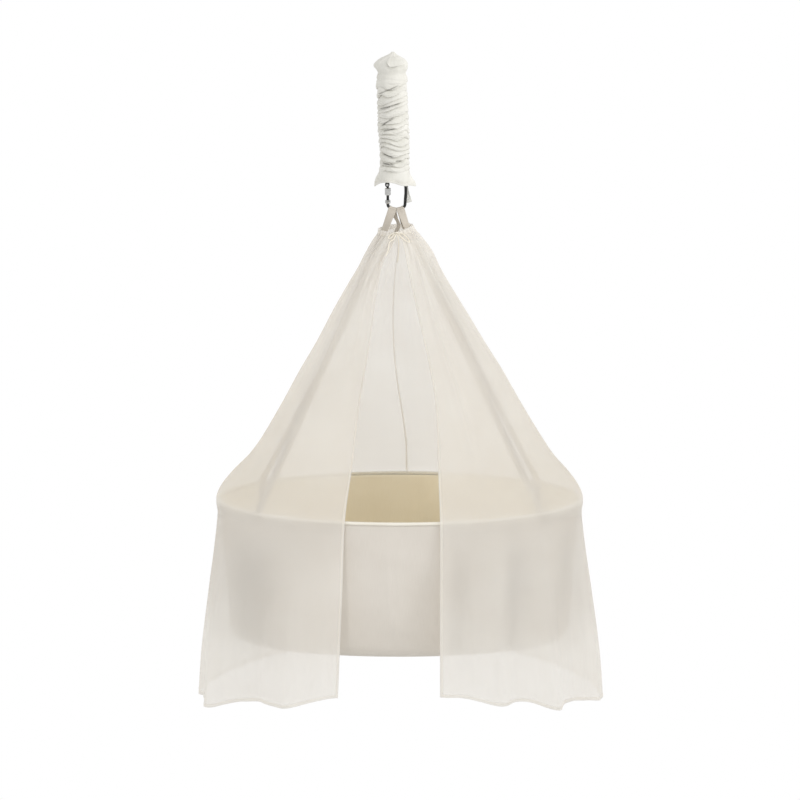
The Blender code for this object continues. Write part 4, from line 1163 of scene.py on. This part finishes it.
# the columns lie closer together in front, where the wall shows
tub_angle = even - 0.6 * np.sin(even + math.pi / 2)
TUB_TOP = RIM_Z - BINDING_HEIGHT * 0.5
LINING_INSET = CANVAS_THICK + 0.0004
canvas_out, canvas_in, lining_out, lining_in = (tub_layer(tub_angle, inset, TUB_TOP) for inset in (
    0.0, CANVAS_THICK, LINING_INSET, LINING_INSET + LINING_THICK))
floor_row = len(canvas_out) - 1
# painted shade in bands down the wall, away from the rim and the floor
wall_painted_shade = sum(dark * np.exp(-(wrapped(tub_angle, centre) / width) ** 4)
                  for centre, width, dark in WALL_SHADE_BANDS)
level = canvas_out[:, :, 2]
wall_shade_reach = ease(RIM_Z - 0.02, RIM_Z - 0.2, level) * (1.0 - ease(-1.585, -1.612, level))
canvas = skin("cradle_canvas", canvas_out, canvas_in, cradle_cotton, closed=True, caps=(floor_row,),
              marks={"hollow": wall_painted_shade * wall_shade_reach})
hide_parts("cradle_wall")
lining = skin("cradle_tan_lining", lining_out, lining_in, tan_lining, closed=True,
              caps=(floor_row,))
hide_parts("cradle_lining")

# %% [markdown]
# ## The binding
# The two layers' top edges are wrapped in a strip of fine cotton. It is rolled tight, so it is
# drawn as one plump section taken round the rim, with small puckers between its stitches.

# %% Binding
def rounded(value):
    """Sine or cosine of a circle, filled out towards a square."""
    return math.copysign(abs(value) ** 0.75, value)


RIM_COLUMNS, SECTION_POINTS = 720, 20
RIM_LENGTH, SECTION_LENGTH = 2.55, 0.026
low, high = TUB_TOP + 0.0003, TUB_TOP + 0.0003 + BINDING_HEIGHT
outside_reach, inside_reach = 0.0032, -(CANVAS_THICK + LINING_THICK + 0.0008)
mid_r, half_r = (outside_reach + inside_reach) / 2, (outside_reach - inside_reach) / 2
rim_angle = np.linspace(0, 2 * math.pi, RIM_COLUMNS, endpoint=False)
rows = []
for k in range(SECTION_POINTS):
    t = 2 * math.pi * k / SECTION_POINTS
    pucker = 0.00025 * np.sin(150 * rim_angle + 2.0 * math.sin(t))
    reach = mid_r + (half_r + pucker) * rounded(math.cos(t))
    height = (low + high) / 2 + (high - low) / 2 * rounded(math.sin(t))
    rows.append(oval(CRADLE_X, RIM_A + reach, RIM_B + reach, rim_angle, height))


def binding_uv(column, ring):
    return column / RIM_COLUMNS * RIM_LENGTH, ring / SECTION_POINTS * SECTION_LENGTH


binding = rings_of("rim_binding", np.array(rows).reshape(-1, 3).tolist(), RIM_COLUMNS,
                   binding_cotton, looped=True, measure=binding_uv)
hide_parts("cradle_binding")
turn = np.linspace(0, 2 * math.pi, 1500)
reach = outside_reach + 0.0002
seam = oval(CRADLE_X, RIM_A + reach, RIM_B + reach, turn, TUB_TOP + 0.0028)
stitches("binding_stitches", [seam], spacing=0.0034, length=0.0025, radius=0.0003)

# %% [markdown]
# ## The tabs
# Where a strap is sewn inside, a short tab of the same webbing lies on the outside of the wall and
# takes the pull. It is held by a box of stitches with a cross in it.

# %% Tabs
def tab(name, node, sx, sy):
    """Short end of the webbing, sewn to the outside of the wall: the lines of its stitches."""
    rows = []
    for drop in np.linspace(0.005, 0.02, 9):
        spread = np.linspace(-0.5, 0.5, 13) * WEB_WIDTH / WEB_RIM_REACH
        angle = math.atan2(sy * WEB_RIM_Y, sx * WEB_RIM_X) + spread
        a, b = (axis + 0.0007 + WEB_THICK / 2 for axis in wall_axes(RIM_Z - drop))
        rows.append(oval(CRADLE_X, a, b, angle, RIM_Z - drop))
    grid = np.array(rows)
    piece = cloth(name, grid, WEB_THICK, webbing_cotton)
    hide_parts(node)
    shell = grid + grid_normals(grid, closed=False) * (WEB_THICK / 2 + THREAD_LIFT)
    cross = [(1 + i, 1 + round(i * 10 / 6)) for i in range(7)]
    return [shell[1, 1:-1], shell[-2, 1:-1], shell[1:-1, 1], shell[1:-1, -2],
            [shell[row, column] for row, column in cross],
            [shell[8 - row, column] for row, column in cross]]


tab_lines = []
for sx, side_word in ((-1, "left"), (1, "right")):
    for sy, front_word in ((-1, "front"), (1, "back")):
        words = f"tab_{front_word}_{side_word}"
        tab_lines += tab(words, "rim_" + words, sx, sy)
stitches("tab_stitches", tab_lines, spacing=0.0028, length=0.0021)

# %% [markdown]
# ## The carabiner
# The bar, the fork and the gate are right as they come from the model, so they only take their
# steel. The nut and the nose are turned parts whose detail is too fine for the model: the nut has
# grooves to grip, and the nose has a thread that the nut screws onto.

# %% Turned parts
GATE_X = CLIP_X - CLIP_HALF_WIDTH
NUT_TOP, NUT_LOW, NUT_WAIST = -0.3681, -0.3681 - 0.0191, 0.0076
CUP_Z = -0.4028  # bottom of the nose's cup, which takes the gate's end
GROOVES = 24


def lathe(name, profile, steps, body, node, depth=0.0):
    """Bright steel turned about the gate's line from (radius, height) pairs. A profile that ends
    where it starts is a ring. Grip grooves of this depth run down the nut's waist."""
    looped = profile[0] == profile[-1]
    points = []
    for radius, z in profile[:-1] if looped else profile:
        for k in range(steps):
            t = 2 * math.pi * k / steps
            reach = radius + (depth * math.cos(GROOVES * t) if radius == NUT_WAIST else 0.0)
            points.append((GATE_X + reach * math.cos(t), reach * math.sin(t), z))
    piece = rings_of(name, points, steps, bright_steel, body, looped)
    piece.data.set_sharp_from_angle(angle=math.radians(40))
    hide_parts(node)


lathe("screw_nut", [
    (0.0041, NUT_TOP), (0.007, NUT_TOP), (0.008, NUT_TOP - 0.0012), (0.008, NUT_TOP - 0.0035),
    (NUT_WAIST, NUT_TOP - 0.004), (NUT_WAIST, NUT_LOW + 0.004), (0.008, NUT_LOW + 0.0035),
    (0.008, NUT_LOW + 0.0012), (0.007, NUT_LOW), (0.0041, NUT_LOW), (0.0041, NUT_TOP)],
    192, "nut", "carabiner_nut", 0.00028)
nose = [(0.004, CUP_Z), (0.004, CUP_Z + 0.0001), (0.0052, -0.4008), (0.0067, -0.4008),
        (0.0073, -0.4014)]
for z in (-0.4018 - 0.0012 * k for k in range(5)):
    nose += [(0.0075, z), (0.007, z - 0.0006)]
nose += [(0.0074, -0.408), (0.007, -0.4092), (0.0052, -0.411)]
lathe("threaded_nose", nose, 48, "hanging_set", "carabiner_nose")

# %% [markdown]
# These four parts keep the model's own shape and get the steels that were made above.

# %% Steel on the model's own parts
for name, steel in (("carabiner_frame", black_steel), ("carabiner_fork", black_steel),
                    ("carabiner_gate", black_steel), ("carabiner_rivet", bright_steel)):
    for slot in bpy.data.objects[name].material_slots:
        slot.material = steel
